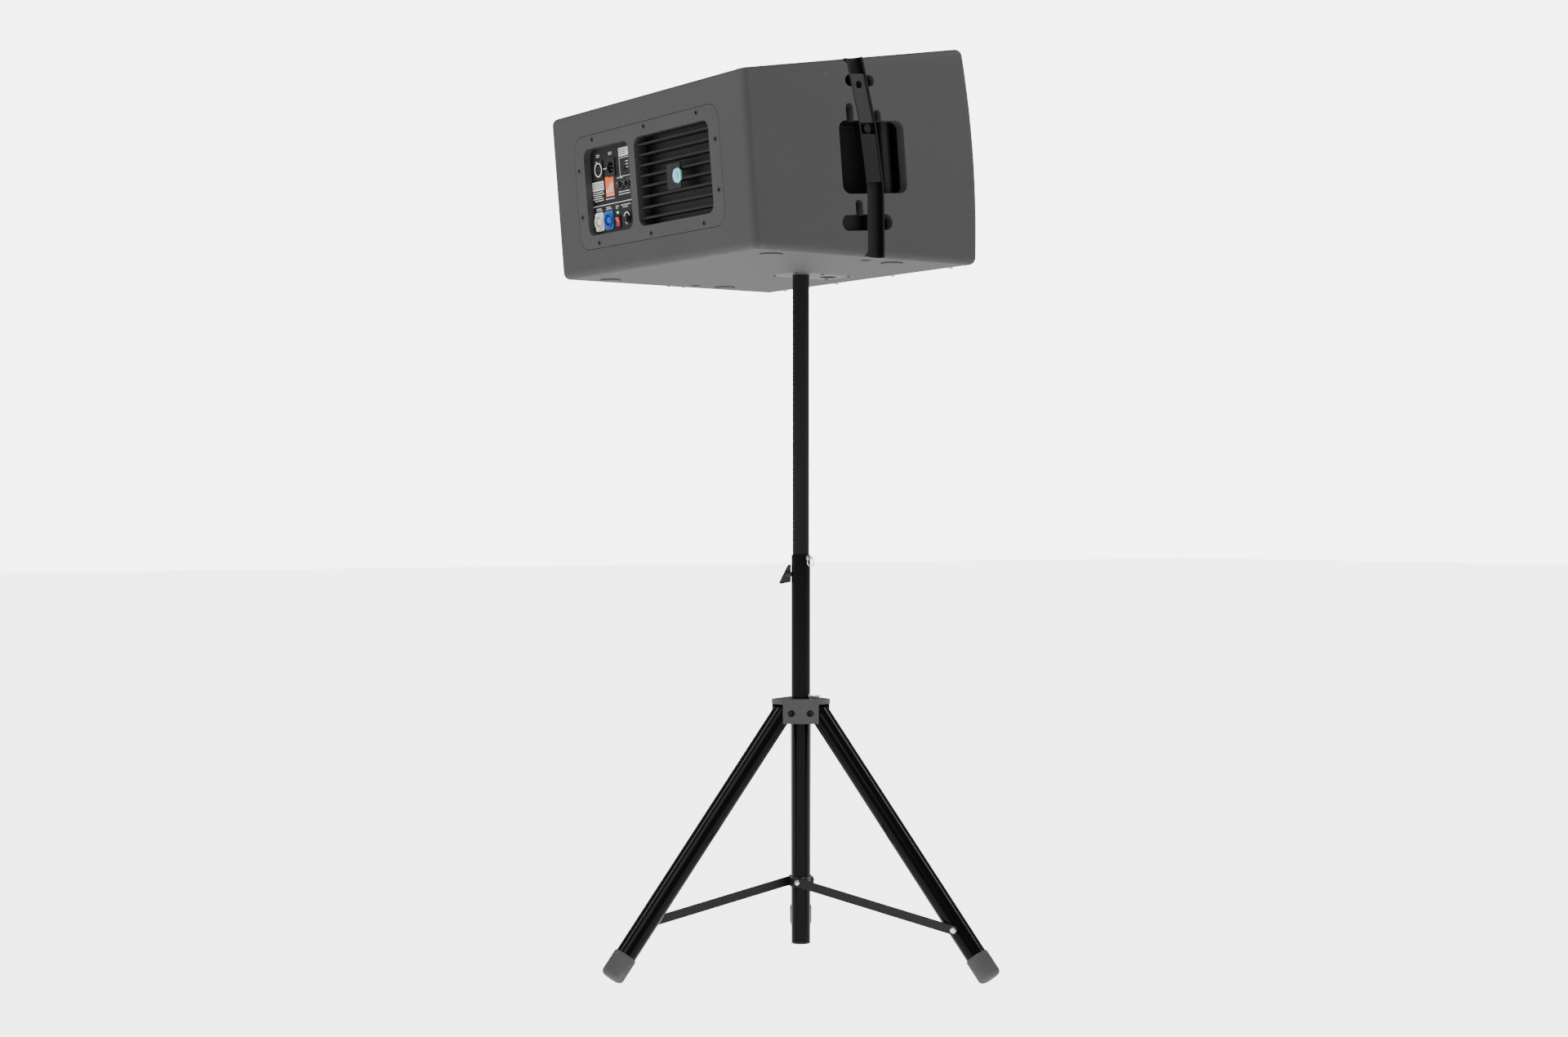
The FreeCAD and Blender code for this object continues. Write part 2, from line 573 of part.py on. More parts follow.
def heat_sink_badge():
    body = new_body("heat_sink_badge")
    face = "(collar_depth - fin_height)"
    pad(body, "XZ", f"{face} - 2.5", face, lambda s: rounded(
        s, f"{SINK_CENTRE}", "0 - 3", "badge_side", "badge_side", 3))
    disc = "(badge_side * 0.32)"
    pad(body, "XZ", f"{face} - 3.7", f"{face} - 2.5", lambda s: circle(s, SINK_CENTRE, "0 - 3", disc))
    return in_cabinet(body)


# ---------------------------------------------------------------- input panel
ON_INPUT = "(0 - input_set_back)"
SIGNAL_IN, SIGNAL_LOOP = (166, 36), (126, 36)
POWER_OUT, POWER_IN = (174, -50), (143, -50)
ROCKER, LAMP, BREAKER = (115, -55), (115, -40), (84, -52)
GAIN, TRIM, SLIDER = (98, 4), (77, 4), (85, 30)


def on_input(thing, where, forward=0):
    """Place a back-facing piece on the input panel, its own z = 0 at the panel's face."""
    across, up = where
    return in_cabinet(thing, (across, f"{ON_INPUT} + ({forward})", up), "back")


def socket_blank(label, width, height):
    """A flange with a barrel through the panel."""
    body = new_body(label)
    pad(body, "XY", 0, "flange_sheet", lambda s: rounded(s, 0, 0, width, height, 4))
    pad(body, "XY", "0 - barrel_length", 0.5, lambda s: circle(s, 0, 0, "barrel_radius"))
    return body


def signal_sockets():
    """A female input socket and a male loop socket."""
    female = socket_blank("signal_input", "flange_width", "flange_height")
    pocket(female, "XY", "flange_sheet - plug_depth", "flange_sheet + 1", lambda s: circle(
        s, 0, 0, "plug_radius"))
    core_front = "(flange_sheet - 0.5)"
    pad(female, "XY", "0 - plug_depth", core_front, lambda s: circle(s, 0, 0, "plug_radius - 1.8"))
    reach = "(plug_radius * 0.42)"
    for turn in (90, 210, 330):
        across, up = f"{reach} * cos({turn})", f"{reach} * sin({turn})"
        pocket(female, "XY", f"{core_front} - 9", f"{core_front} + 1", lambda s: circle(
            s, across, up, "pin_radius + 0.3"))
    pocket(female, "XY", -8, "flange_sheet + 1", lambda s: rectangle(
        s, "0 - 3.5 - part_gap", "3.5 + part_gap", "0 - flange_height / 2 + 1.5", "0 - barrel_radius + 1"))
    male = socket_blank("signal_loop", "flange_width", "flange_height")
    pocket(male, "XY", "flange_sheet - plug_depth", "flange_sheet + 1", lambda s: circle(
        s, 0, 0, "plug_radius"))
    for turn in (90, 210, 330):
        across, up = f"{reach} * cos({turn})", f"{reach} * sin({turn})"
        pad(male, "XY", "0 - plug_depth", "0", lambda s: circle(s, across, up, "pin_radius"))
    return on_input(female, SIGNAL_IN), on_input(male, SIGNAL_LOOP)


def latch_tab():
    """The press tab above the input socket's mouth."""
    body = new_body("latch_tab")
    pad(body, "XY", -5, "flange_sheet + 2.5", lambda s: rectangle(
        s, -3.5, 3.5, "0 - flange_height / 2 + 1.5 + part_gap", "0 - barrel_radius + 1 - part_gap"))
    return on_input(body, SIGNAL_IN)


def power_socket(label, where):
    """A round locking mains socket with a keyed boss."""
    body = socket_blank(label, "flange_width", "flange_height")
    pad(body, "XY", 0, "flange_sheet + 3", lambda s: circle(s, 0, 0, "barrel_radius"))
    pocket(body, "XY", "3 - plug_depth", "flange_sheet + 4", lambda s: circle(s, 0, 0, "barrel_radius - 1.8"))
    pad(body, "XY", "0 - plug_depth", 3, lambda s: circle(s, 0, 0, "barrel_radius - 6.4"))
    return on_input(body, where)


def knob(label, where, radius):
    """A skirted knob on a shaft that runs in the panel."""
    body = turned(label, [
        (0, "0 - input_sheet - 6"), ("shaft_radius", "0 - input_sheet - 6"), ("shaft_radius", "part_gap"),
        (radius, "part_gap"), (radius, "part_gap + 2"), (f"{radius} - 1.2", "part_gap + 2.6"),
        (f"{radius} - 1.8", "knob_height - 1"), (f"{radius} - 2.8", "knob_height"), (0, "knob_height")])
    pocket(body, "XY", "knob_height - 0.8", "knob_height + 1", lambda s: rectangle(
        s, -0.6, 0.6, f"0 - {radius} + 1", 0))
    return on_input(body, where)


def mode_slider():
    body = new_body("mode_slider")
    pad(body, "XY", "0 - input_sheet - 3", 3, lambda s: rectangle(s, -2.2, 2.2, -2.6, 2.6))
    return on_input(body, (f"{SLIDER[0]} - slide_travel / 2", SLIDER[1]))


def power_rocker():
    """The rocker, with two faces that meet over its axle."""
    body = new_body("power_rocker")
    half, rise = "(rocker_height / 2)", 3
    pad(body, "YZ", "0 - rocker_width / 2", "rocker_width / 2", lambda s: outline(s, [
        (f"0 - {half}", "0 - input_sheet"), (f"{half}", "0 - input_sheet"), (half, rise),
        (0, rise - 1.4), (f"0 - {half}", rise)]))
    on_input(body, ROCKER)
    body.setExpression("Placement.Rotation.Angle", tie("90 + cab_wedge + rocker_tilt"))
    return body


def breaker_button():
    body = turned("breaker_button", [
        (0, "0 - input_sheet - 8"), ("button_radius", "0 - input_sheet - 8"), ("button_radius", 5.4),
        ("button_radius - 0.8", 6.2), (0, 6.2)])
    return on_input(body, BREAKER)


def power_lamp():
    body = turned("power_lamp", [
        (0, "0 - input_sheet - 2"), (2.2, "0 - input_sheet - 2"), (2.2, 0.8), (0, 2.6)],
        {2: (dome(2.2, 1.8), 1)})
    return on_input(body, LAMP)


def input_panel(sockets, lamp):
    """The connector plate, with holes that match what passes through it."""
    body = new_body("input_plate")
    pad(body, "XZ", "input_set_back", "input_set_back + input_sheet", lambda s: rounded(
        s, BAY_CENTRE, 0, "input_width", "bay_height", "bay_radius"))
    for where in (GAIN, TRIM):
        pocket(body, "XZ", 0, "collar_depth", lambda s: circle(s, *where, "shaft_radius + running_gap"))
    pad(body, "XZ", "input_set_back - 2.6", "input_set_back", lambda s: circle(
        s, *BREAKER, "button_radius + 3.5"))
    pocket(body, "XZ", 0, "collar_depth", lambda s: circle(s, *BREAKER, "button_radius + part_gap"))
    reach = "(slide_travel / 2 + 2.2 + part_gap)"
    pocket(body, "XZ", 0, "collar_depth", lambda s: rectangle(
        s, f"{SLIDER[0]} - {reach}", f"{SLIDER[0]} + {reach}",
        f"{SLIDER[1]} - 2.6 - part_gap", f"{SLIDER[1]} + 2.6 + part_gap"))
    across, up = SIGNAL_IN
    pocket(body, "XZ", 0, "collar_depth", lambda s: rectangle(
        s, f"{across} - 3.5 - part_gap", f"{across} + 3.5 + part_gap", f"{up} + barrel_radius - 1",
        f"{up} + flange_height / 2 - 1.5"))
    across, up = ROCKER
    wide, tall = "(rocker_width / 2 + part_gap)", "(rocker_height / 2 + 1)"
    pad(body, "XZ", "input_set_back - 1.6", "input_set_back", lambda s: rectangle(
        s, f"{across} - {wide} - 1.6", f"{across} + {wide} + 1.6", f"{up} - {tall} - 1.6",
        f"{up} + {tall} + 1.6"))
    pocket(body, "XZ", 0, "collar_depth", lambda s: rectangle(
        s, f"{across} - {wide}", f"{across} + {wide}", f"{up} - {tall}", f"{up} + {tall}"))
    in_cabinet(body)
    barrels = [on_input(cylinder("barrel_hole", "barrel_radius", "2 * barrel_length"), where,
        "0 - barrel_length")
               for where in (SIGNAL_IN, SIGNAL_LOOP, POWER_IN, POWER_OUT)]
    return cut("input_panel", body, *barrels, lamp)


def board(label, centre, width, seat, posts, parts):
    """A circuit board on posts from a seat at its outer side, with tall components on its inner side."""
    body = new_body(label)
    face = "(collar_depth + sink_plate + 9)"
    back = f"({face} + board_sheet)"
    pad(body, "XZ", face, back, lambda s: rectangle(
        s, f"{centre} - ({width}) / 2", f"{centre} + ({width}) / 2", "0 - board_half", "board_half"))
    for side in (-1, 1):
        for up in posts:
            pad(body, "XZ", seat, face, lambda s: circle(
                s, f"{centre} + {side} * (({width}) / 2 - 6)", up, 3))
    for across, up, radius, height in parts:
        pad(body, "XZ", back, f"{back} + {height}", lambda s: circle(
            s, f"{centre} + {across}", up, radius))
    return in_cabinet(body)


# ---------------------------------------------------------------- rigging rails and handles
def side_pad(body, side, low, high, draw):
    """Pad a profile of the cabinet's side between two depths below the side's face."""
    ends = (f"cab_width / 2 - ({high})", f"cab_width / 2 - ({low})")
    if side < 0:
        ends = tuple(f"0 - ({end})" for end in reversed(ends))
    return pad(body, "YZ", *ends, draw)


def side_pocket(body, side, low, high, draw):
    ends = (f"cab_width / 2 - ({high})", f"cab_width / 2 - ({low})")
    if side < 0:
        ends = tuple(f"0 - ({end})" for end in reversed(ends))
    return pocket(body, "YZ", *ends, draw)


def rail_seat(side):
    body = new_body(f"rail_seat_{'left' if side < 0 else 'right'}")
    side_pad(body, side, -5, "rail_depth", lambda s: rail_band(s, "rail_width / 2"))
    return in_cabinet(body)


def rigging_rail(side, label):
    """A bent channel let into the side, trimmed to the wedge, with a keeper bar across its middle."""
    body = new_body(label + "_channel")
    side_pad(body, side, 0.5, "rail_depth", lambda s: rail_band(s, "rail_width / 2"))
    side_pocket(body, side, -1, "rail_depth - rail_web", lambda s: rail_band(s, "rail_width / 2 - rail_wall"))
    side_pad(body, side, 1.5, "rail_depth - rail_web", lambda s: keeper(s))
    side_pocket(body, side, -5, "rail_depth + 2", lambda s: circle(
        s, "rail_upper - 0.5", "(link_bottom + keeper_top) / 2", "link_pin_radius + part_gap"))
    in_cabinet(body)
    envelope = new_body(label + "_wedge")
    pad(envelope, "YZ", "0 - cab_width / 2", "cab_width / 2", wedge_outline)
    in_cabinet(envelope)
    rail = doc.addObject("Part::Common", label)
    rail.Label = label
    rail.Base = body
    rail.Tool = envelope
    return rail


def keeper(sketch):
    """The fixed bar in the middle of the rail, beside the handle."""
    inside = "(rail_width / 2 - rail_wall)"
    lean = "((rail_upper - rail_lower) / (upper_bend - lower_bend))"
    low_y = f"(rail_lower + {lean} * (keeper_bottom - lower_bend))"
    high_y = f"(rail_lower + {lean} * (keeper_top - lower_bend))"
    outline(sketch, [
        (f"{low_y} - {inside}", "keeper_bottom"), (f"{low_y} + {inside}", "keeper_bottom"),
        (f"{high_y} + {inside}", "keeper_top"), (f"{high_y} - {inside}", "keeper_top")])


def link_bar(side, label):
    """The bar that slides up out of the rail to join the next cabinet, with its pin hole."""
    body = new_body(label)
    half = "(rail_width / 2 - rail_wall - part_gap)"
    slope = "((rail_top - rail_upper) / (rail_end - upper_bend))"
    low_y = f"(rail_upper + {slope} * (link_bottom - upper_bend))"
    high_y = f"(rail_upper + {slope} * (link_top - upper_bend))"
    face = "(rail_depth - rail_web - link_thickness - part_gap)"
    side_pad(body, side, face, f"{face} + link_thickness", lambda s: outline(s, [
        (f"{low_y} - {half}", "link_bottom"), (f"{low_y} + {half}", "link_bottom"),
        (f"{high_y} + {half}", "link_top"), (f"{high_y} - {half}", "link_top")]))
    side_pocket(body, side, -5, 20, lambda s: circle(
        s, f"{high_y} - link_hole_drop * {slope}", "link_top - link_hole_drop", "link_hole_radius"))
    return in_cabinet(body)


def link_pin(side, label):
    """The button-headed pin that holds the link bar in its rail."""
    body = new_body(label)
    middle = "((link_bottom + keeper_top) / 2)"
    side_pad(body, side, 3, "rail_depth", lambda s: circle(s, "rail_upper - 0.5", middle, "link_pin_radius"))
    side_pad(body, side, "rail_depth - 1", "cab_wall - 1", lambda s: circle(s, "rail_upper - 0.5", middle, 3))
    return in_cabinet(body)


def handle_cup(side, label):
    """The moulded cup behind the opening, with its backing flange and the grip across it."""
    body = new_body(label)
    wall, centre = "cab_wall", "((cup_front + cup_back) / 2)"
    side_pad(body, side, wall, f"{wall} + cup_wall", lambda s: rounded(
        s, f"{centre} - cup_flange", 4, "cup_back - cup_front + 2 * cup_flange", "cup_flange_height", 10))
    side_pad(body, side, wall, f"{wall} + cup_depth", lambda s: rounded(
        s, centre, 0, "cup_back - cup_front", "2 * handle_half_height + 10", "handle_radius"))
    side_pocket(body, side, f"{wall} - 5", f"{wall} + cup_depth - cup_wall", lambda s: rounded(
        s, centre, 0, "cup_back - cup_front - 2 * cup_wall", "2 * handle_half_height + 10 - 2 * cup_wall",
        "handle_radius - cup_wall"))
    reach = "(handle_half_height + 4)"
    pad(body, "XY", f"0 - {reach}", reach, lambda s: circle(
        s, f"{side} * (cab_width / 2 - grip_depth)", "grip_centre", "grip_radius"))
    return in_cabinet(body)


# ---------------------------------------------------------------- underside
def pole_sockets():
    """The two cups for the pole: one upright and one that leans, for aiming the box."""
    top = "under_height + plate_sheet"
    outer = f"{SOCKET_RADIUS} + socket_wall"
    upright = cut("upright_socket",
                  cylinder("upright_cup", outer, "socket_depth + socket_wall", (0, 0, top)),
                  cylinder("upright_bore", SOCKET_RADIUS, "socket_depth + 10", (0, 0, f"{top} - 10")))
    leaning_at = (0, "second_socket", top)
    cup = place(cylinder("leaning_cup", outer, "socket_depth + socket_wall + 5"), leaning_at, (1, 0, 0),
        "second_lean")
    bore = place(cylinder("leaning_bore", SOCKET_RADIUS, "socket_depth"), leaning_at, (1, 0, 0),
        "second_lean")
    leaning = cut("leaning_socket", cup, bore, block(
        "below_plate", ("0 - 50", "second_socket - 50", "under_height - 50"),
        (50, "second_socket + 50", top)))
    return group("pole_sockets", [upright, leaning])


def deck_tools(sockets):
    """What the underside is cut by: the socket cups, their bores and the plate's recess."""
    recess = block("plate_recess", ("0 - plate_width / 2", "plate_front", "under_height - 5"),
                   ("plate_width / 2", "plate_back", "under_height + plate_sheet"))
    bores = [cylinder("deck_bore", f"{SOCKET_RADIUS} + 0.5", "socket_depth", (0, 0, "under_height - 5"))]
    bores.append(place(cylinder("deck_bore", f"{SOCKET_RADIUS} + 0.5", "socket_depth"),
                       (0, "second_socket", "under_height"), (1, 0, 0), "second_lean"))
    holes = [cylinder("rigging_hole", 9, 14, (f"{side} * 251", 50, "under_height - 6")) for side in (-1, 1)]
    return [recess, sockets, *bores, *holes]


def socket_plate(screws):
    body = new_body("plate_blank")
    pad(body, "XY", "under_height", "under_height + plate_sheet", lambda s: rounded(
        s, 0, "(plate_front + plate_back) / 2", "plate_width", "plate_back - plate_front", 5))
    pocket(body, "XY", "under_height - 5", "under_height + 10", lambda s: circle(
        s, 0, 0, "pole_radius + 0.8"))
    pocket(body, "XY", "under_height - 5", "under_height + 10", lambda s: circle(
        s, 0, "second_socket", "pole_radius + 0.8"))
    return cut("socket_plate", body, screws)


def cabinet_pads():
    pads = []
    for side in (-1, 1):
        for back in ("pad_rear", "pad_front"):
            pads.append(cylinder("pad", "pad_radius", "pad_height", (
                f"{side} * pad_side", f"pole_from_back - {back}", "under_height - pad_height")))
    return group("cabinet_pads", pads)


# ---------------------------------------------------------------- stand: pole, tube, pins and hub
def along_azimuth(thing, azimuth, level):
    """Point a piece's own X axis outward at an azimuth and a height."""
    return place(thing, (0, 0, level), (0, 0, 1), azimuth)


KNOB_AZIMUTH, LOCK_PIN_AZIMUTH, HUB_PIN_AZIMUTH = 55.1, 185.1, 201.1


def radial_hole(name, radius, azimuth, level):
    """A cutter out from the stand's axis, for a screw or pin that runs in the tube's wall."""
    thing = doc.addObject("Part::Cylinder", name)
    bind(thing, Radius=f"{radius} + running_gap", Height="tube_radius + 20")
    thing.Placement = FreeCAD.Placement(
        V(0, 0, value(level)), FreeCAD.Rotation(V(0, 0, 1), azimuth) * ALONG["X"])
    return thing


def upper_pole():
    top = "(under_height + plate_sheet + socket_depth - part_gap)"
    wall = "(pole_radius - pole_bore)"
    return turned("upper_pole", [
        ("pole_bore", "pole_bottom"), ("pole_radius", "pole_bottom"), ("pole_radius", f"{top} - 1.5"),
        ("pole_radius - 1.5", top), (0, top), (0, f"{top} - {wall}"), ("pole_bore", f"{top} - {wall}")])


def outer_tube():
    bore = "(pole_radius + slide_gap)"
    tube = turned("tube_blank", [
        (bore, "tube_bottom"), ("tube_radius", "tube_bottom"), ("tube_radius", "tube_top - 0.6"),
        ("tube_radius - 0.6", "tube_top"), (bore, "tube_top")])
    clamp = radial_hole("clamp_hole", "clamp_radius", KNOB_AZIMUTH, "knob_level")
    pins = [radial_hole("pin_hole", "lock_pin_radius", LOCK_PIN_AZIMUTH, "pin_level"),
            radial_hole("pin_hole", "lock_pin_radius", HUB_PIN_AZIMUTH, "disc_top + hub_pin_rise")]
    return cut("outer_tube", tube, clamp, *pins)


def tube_plug():
    bore = "(pole_radius + slide_gap)"
    return turned("tube_plug", [
        (0, "tube_bottom - plug_flange"), ("tube_radius", "tube_bottom - plug_flange"),
        ("tube_radius", "tube_bottom"), (bore, "tube_bottom"), (bore, "tube_bottom + plug_height"),
        (0, "tube_bottom + plug_height")])


def clamp_knob():
    """A cast wing on a screw. The wing's inner edge stays clear of the tube all the way round."""
    body = new_body("clamp_knob")
    inner = "(tube_radius + 0.9)"
    pad(body, "YZ", "pole_radius + 0.4", f"{inner} + 3", lambda s: circle(s, 0, 0, "clamp_radius"))
    pad(body, "YZ", inner, f"{inner} + 9", lambda s: circle(s, 0, 0, 7))
    wing = pad(body, "XZ", -3.5, 3.5, lambda s: outline(s, [
        (inner, -13), (f"{inner} + 17", -16.5), (f"{inner} + 20", -14), (f"{inner} + 5", 16), (inner, 16.5)]))
    round_edges(body, wing, 1.2, lambda edge, mid: abs(mid.y) < 1 and abs(mid.z) > 8 and edge.Length > 5)
    return along_azimuth(body, KNOB_AZIMUTH, "knob_level")


def pull_pin(label, azimuth, level, reach):
    """A chrome pin that sits in a hole in the tube's wall, with a collar and a cross-drilled end."""
    body = new_body(label)
    end = f"(tube_radius + {reach})"
    pad(body, "YZ", "pole_radius + 0.4", end, lambda s: circle(s, 0, 0, "lock_pin_radius"))
    pad(body, "YZ", "tube_radius + 0.4", "tube_radius + 2.4", lambda s: circle(
        s, 0, 0, "lock_pin_radius + 1.1"))
    pocket(body, "XZ", -5, 5, lambda s: circle(s, f"{end} - 2.6", 0, "ring_wire + 0.6"))
    return along_azimuth(body, azimuth, level)


def lock_pin_ring():
    """The pull ring, hung through the pin's cross hole."""
    ring = doc.addObject("Part::Torus", "lock_pin_ring")
    ring.Label = "lock_pin_ring"
    bind(ring, Radius1="ring_radius", Radius2="ring_wire")
    reach = "(tube_radius + lock_pin_reach - 2.6)"
    place(ring, (
        f"{reach} * cos({LOCK_PIN_AZIMUTH})", f"{reach} * sin({LOCK_PIN_AZIMUTH})",
        "pin_level - ring_radius"))
    across = FreeCAD.Rotation(V(0, 0, 1), LOCK_PIN_AZIMUTH)
    # The ring's plane lies across the pin, so that its wire runs along the cross hole.
    ring.Placement.Rotation = across * ALONG["X"]
    return ring


def leg_hub(bolts):
    """The cast hub: a plate with three flats over three blocks that leave a slot for each leg."""
    body = new_body("hub_casting")
    under = "(disc_top - disc_thickness)"
    pad(body, "XY", under, "disc_top", lambda s: circle(s, 0, 0, "disc_radius"))
    corners = [(f"hub_face * cos({middle}) - {sign} * hub_face_half * sin({middle})",
                f"hub_face * sin({middle}) + {sign} * hub_face_half * cos({middle})")
               for middle in (60, 180, 300) for sign in (-1, 1)]
    for middle in (60, 180, 300):
        beyond = [("hub_face", -45), ("(hub_face + 20)", -45), ("(hub_face + 20)", 45), ("hub_face", 45)]
        pocket(body, "XY", f"{under} - 5", "disc_top + 5", lambda s: outline(s, [
            (f"{x} * cos({middle}) - {y} * sin({middle})", f"{x} * sin({middle}) + {y} * cos({middle})")
            for x, y in beyond]))
    pad(body, "XY", "hub_bottom", f"{under} + 1", lambda s: outline(s, corners))
    pocket(body, "XY", "hub_bottom - 5", "disc_top + 5", lambda s: circle(s, 0, 0, "tube_radius"))
    for turn in (0, 120, 240):
        slot = [(0, -1), (80, -1), (80, 1), (0, 1)]
        pocket(body, "XY", "hub_bottom - 5", under, lambda s: outline(s, [
            (f"{along} * cos({turn}) - {side} * leg_slot_half * sin({turn})",
             f"{along} * sin({turn}) + {side} * leg_slot_half * cos({turn})") for along, side in slot]))
    place(body, axis=(0, 0, 1), angle="leg_azimuth")
    recesses = []
    for turn in (0, 120, 240):
        for side in (-1, 1):
            recess = doc.addObject("Part::Cylinder", "bolt_recess")
            bind(recess, Radius="bolt_recess_radius", Height=30)
            recesses.append(on_pivot(recess, turn, side))
    return cut("leg_hub", body, bolts, *recesses)


def on_pivot(thing, turn, side):
    """Point a piece's own Z axis along a leg's pivot, out of the slot on one side."""
    azimuth = FreeCAD.Rotation(V(0, 0, 1), value("leg_azimuth") + turn)
    start = V(value("pivot_radius"), side * value("bolt_half"), value("pivot_level"))
    along = FreeCAD.Rotation(V(1, 0, 0), -90 * side)
    thing.Placement = FreeCAD.Placement(azimuth.multVec(start), azimuth * along)
    return thing


def hub_bolts():
    bolts = []
    for turn in (0, 120, 240):
        bolt = turned("hub_bolt", [
            (0, "0 - 2 * bolt_half - bolt_head"), ("bolt_head_radius", "0 - 2 * bolt_half - bolt_head"),
            ("bolt_head_radius", "0 - 2 * bolt_half"), ("bolt_radius", "0 - 2 * bolt_half"),
            ("bolt_radius", 0),
            ("bolt_head_radius", 0), ("bolt_head_radius", "bolt_head - 1"),
            ("bolt_head_radius - 1", "bolt_head"),
            (0, "bolt_head")])
        bolts.append(on_pivot(bolt, turn, 1))
    return group("hub_bolts", bolts)


# ---------------------------------------------------------------- stand: legs, collar and braces
FOOT_END = ("((pivot_level + leg_offset * sin(leg_spread) - (foot_radius - foot_round) * sin(leg_spread)"
            " - foot_round + foot_flat) / cos(leg_spread) + foot_round)")


def leg_place(number):
    """A leg's own frame at its pivot: -Z runs down the leg and +X is outward."""
    azimuth = FreeCAD.Rotation(V(0, 0, 1), value("leg_azimuth") + 120 * (number - 1))
    pivot = azimuth.multVec(V(value("pivot_radius"), 0, value("pivot_level")))
    return FreeCAD.Placement(pivot, azimuth * FreeCAD.Rotation(V(0, -1, 0), value("leg_spread")))


def leg(number):
    """A leg tube with its rounded hinge head."""
    body = new_body(f"leg_{number}")
    end = f"({FOOT_END} - 6)"
    pad(body, "XZ", "0 - leg_radius + 0.4", "leg_radius - 0.4", lambda s: circle(s, 0, 0, "head_radius"))
    pad(body, "XY", f"0 - {end}", -2, lambda s: circle(s, "leg_offset", 0, "leg_radius"))
    pocket(body, "XY", f"0 - {end} - 5", "0 - head_length", lambda s: circle(
        s, "leg_offset", 0, "leg_radius - leg_wall"))
    pocket(body, "XZ", "0 - leg_radius - 5", "leg_radius + 5", lambda s: circle(
        s, 0, 0, "bolt_radius + running_gap"))
    body.Placement = leg_place(number)
    return body


def foot(number):
    """A rubber boot over the leg's end, cut flat where it stands."""
    end = f"(0 - {FOOT_END})"
    lip = f"({end} + foot_length)"
    tube_end = f"({end} + 6)"
    boot = turned(f"boot_{number}", [
        (0, end), ("foot_radius - foot_round", end), ("foot_radius", f"{end} + foot_round"),
        ("foot_radius", f"{lip} - 2"), ("foot_radius - 1", lip), ("leg_radius", lip),
        ("leg_radius", tube_end),
        (0, tube_end)], {1: ("foot_round", 1)})
    boot.Placement = leg_place(number) * FreeCAD.Placement(V(value("leg_offset"), 0, 0), FreeCAD.Rotation())
    ground = block(f"ground_{number}", (-600, -600, -60), (600, 600, 0))
    return cut(f"foot_{number}", boot, ground)


def lower_collar(rivets):
    """The sliding collar: round, with a flat towards each leg and an ear for each brace."""
    body = new_body("collar_ring")
    low, high = "collar_level - collar_half", "collar_level + collar_half"
    pad(body, "XY", low, high, lambda s: circle(s, 0, 0, "collar_radius"))
    for turn in (0, 120, 240):
        ear = [("brace_inner - 8", "0 - brace_plane + 0.2"), ("brace_inner + 8", "0 - brace_plane + 0.2"),
               ("brace_inner + 8", -10), ("brace_inner - 8", -10)]
        pad(body, "XY", low, high, lambda s: outline(s, [
            (f"({x}) * cos({turn}) - ({y}) * sin({turn})", f"({x}) * sin({turn}) + ({y}) * cos({turn})")
            for x, y in ear]))
    for turn in (0, 120, 240):
        flat = [("collar_flat", -12), ("collar_flat + 15", -12), ("collar_flat + 15", 12),
            ("collar_flat", 12)]
        pocket(body, "XY", f"{low} - 5", f"{high} + 5", lambda s: outline(s, [
            (f"({x}) * cos({turn}) - ({y}) * sin({turn})", f"({x}) * sin({turn}) + ({y}) * cos({turn})")
            for x, y in flat]))
    pocket(body, "XY", f"{low} - 5", f"{high} + 5", lambda s: circle(s, 0, 0, "tube_radius + slide_gap"))
    place(body, axis=(0, 0, 1), angle="leg_azimuth")
    return cut("lower_collar", body, rivets)


def brace_ends():
    """Where a brace's two rivets lie, as (outward, up) in its leg's plane."""
    angle = math.radians(value("leg_spread"))
    down = V(math.sin(angle), 0, -math.cos(angle))
    across = V(math.cos(angle), 0, math.sin(angle))
    pivot = V(value("pivot_radius"), 0, value("pivot_level"))
    outer = pivot + down * value("brace_along") + across * value("leg_offset")
    return V(value("brace_inner"), 0, value("collar_level")), outer


def brace_place(number):
    """A brace's own frame at its inner rivet: +X towards the outer rivet, Z along the rivet."""
    inner, outer = brace_ends()
    azimuth = FreeCAD.Rotation(V(0, 0, 1), value("leg_azimuth") + 120 * (number - 1))
    drop = math.degrees(math.atan2(inner.z - outer.z, outer.x - inner.x))
    lie_down = FreeCAD.Rotation(V(0, 1, 0), drop) * FreeCAD.Rotation(V(1, 0, 0), 90)
    start = azimuth.multVec(V(inner.x, -value("brace_plane"), inner.z))
    return FreeCAD.Placement(start, azimuth * lie_down)


def brace(number):
    body = new_body(f"brace_{number}")
    inner, outer = brace_ends()
    span = (outer - inner).Length
    pad(body, "XY", 0, "brace_thickness", lambda s: rounded(
        s, span / 2, 0, f"{span} + 2 * brace_half", "2 * brace_half", "brace_half - 0.1"))
    pocket(body, "XY", -5, 10, lambda s: circle(s, 0, 0, "rivet_radius + running_gap"))
    pocket(body, "XY", -5, 10, lambda s: circle(s, span, 0, "rivet_radius + running_gap"))
    body.Placement = brace_place(number)
    return body


def rivet(name):
    """A round-head rivet through a brace: its shank starts below z = 0, at the brace's inner face."""
    return turned(name, [
        (0, -1.5), ("rivet_radius", -1.5), ("rivet_radius", "brace_thickness + 0.3"),
        ("rivet_head_radius", "brace_thickness + 0.3"), ("rivet_head_radius", "brace_thickness + 0.7"),
        (0, "brace_thickness + rivet_head + 0.3")], {4: (dome("rivet_head_radius", "rivet_head - 0.4"), 1)})


def collar_rivets():
    rivets = []
    for number in (1, 2, 3):
        piece = rivet("collar_rivet")
        piece.Placement = brace_place(number)
        rivets.append(piece)
    return group("collar_rivets", rivets)


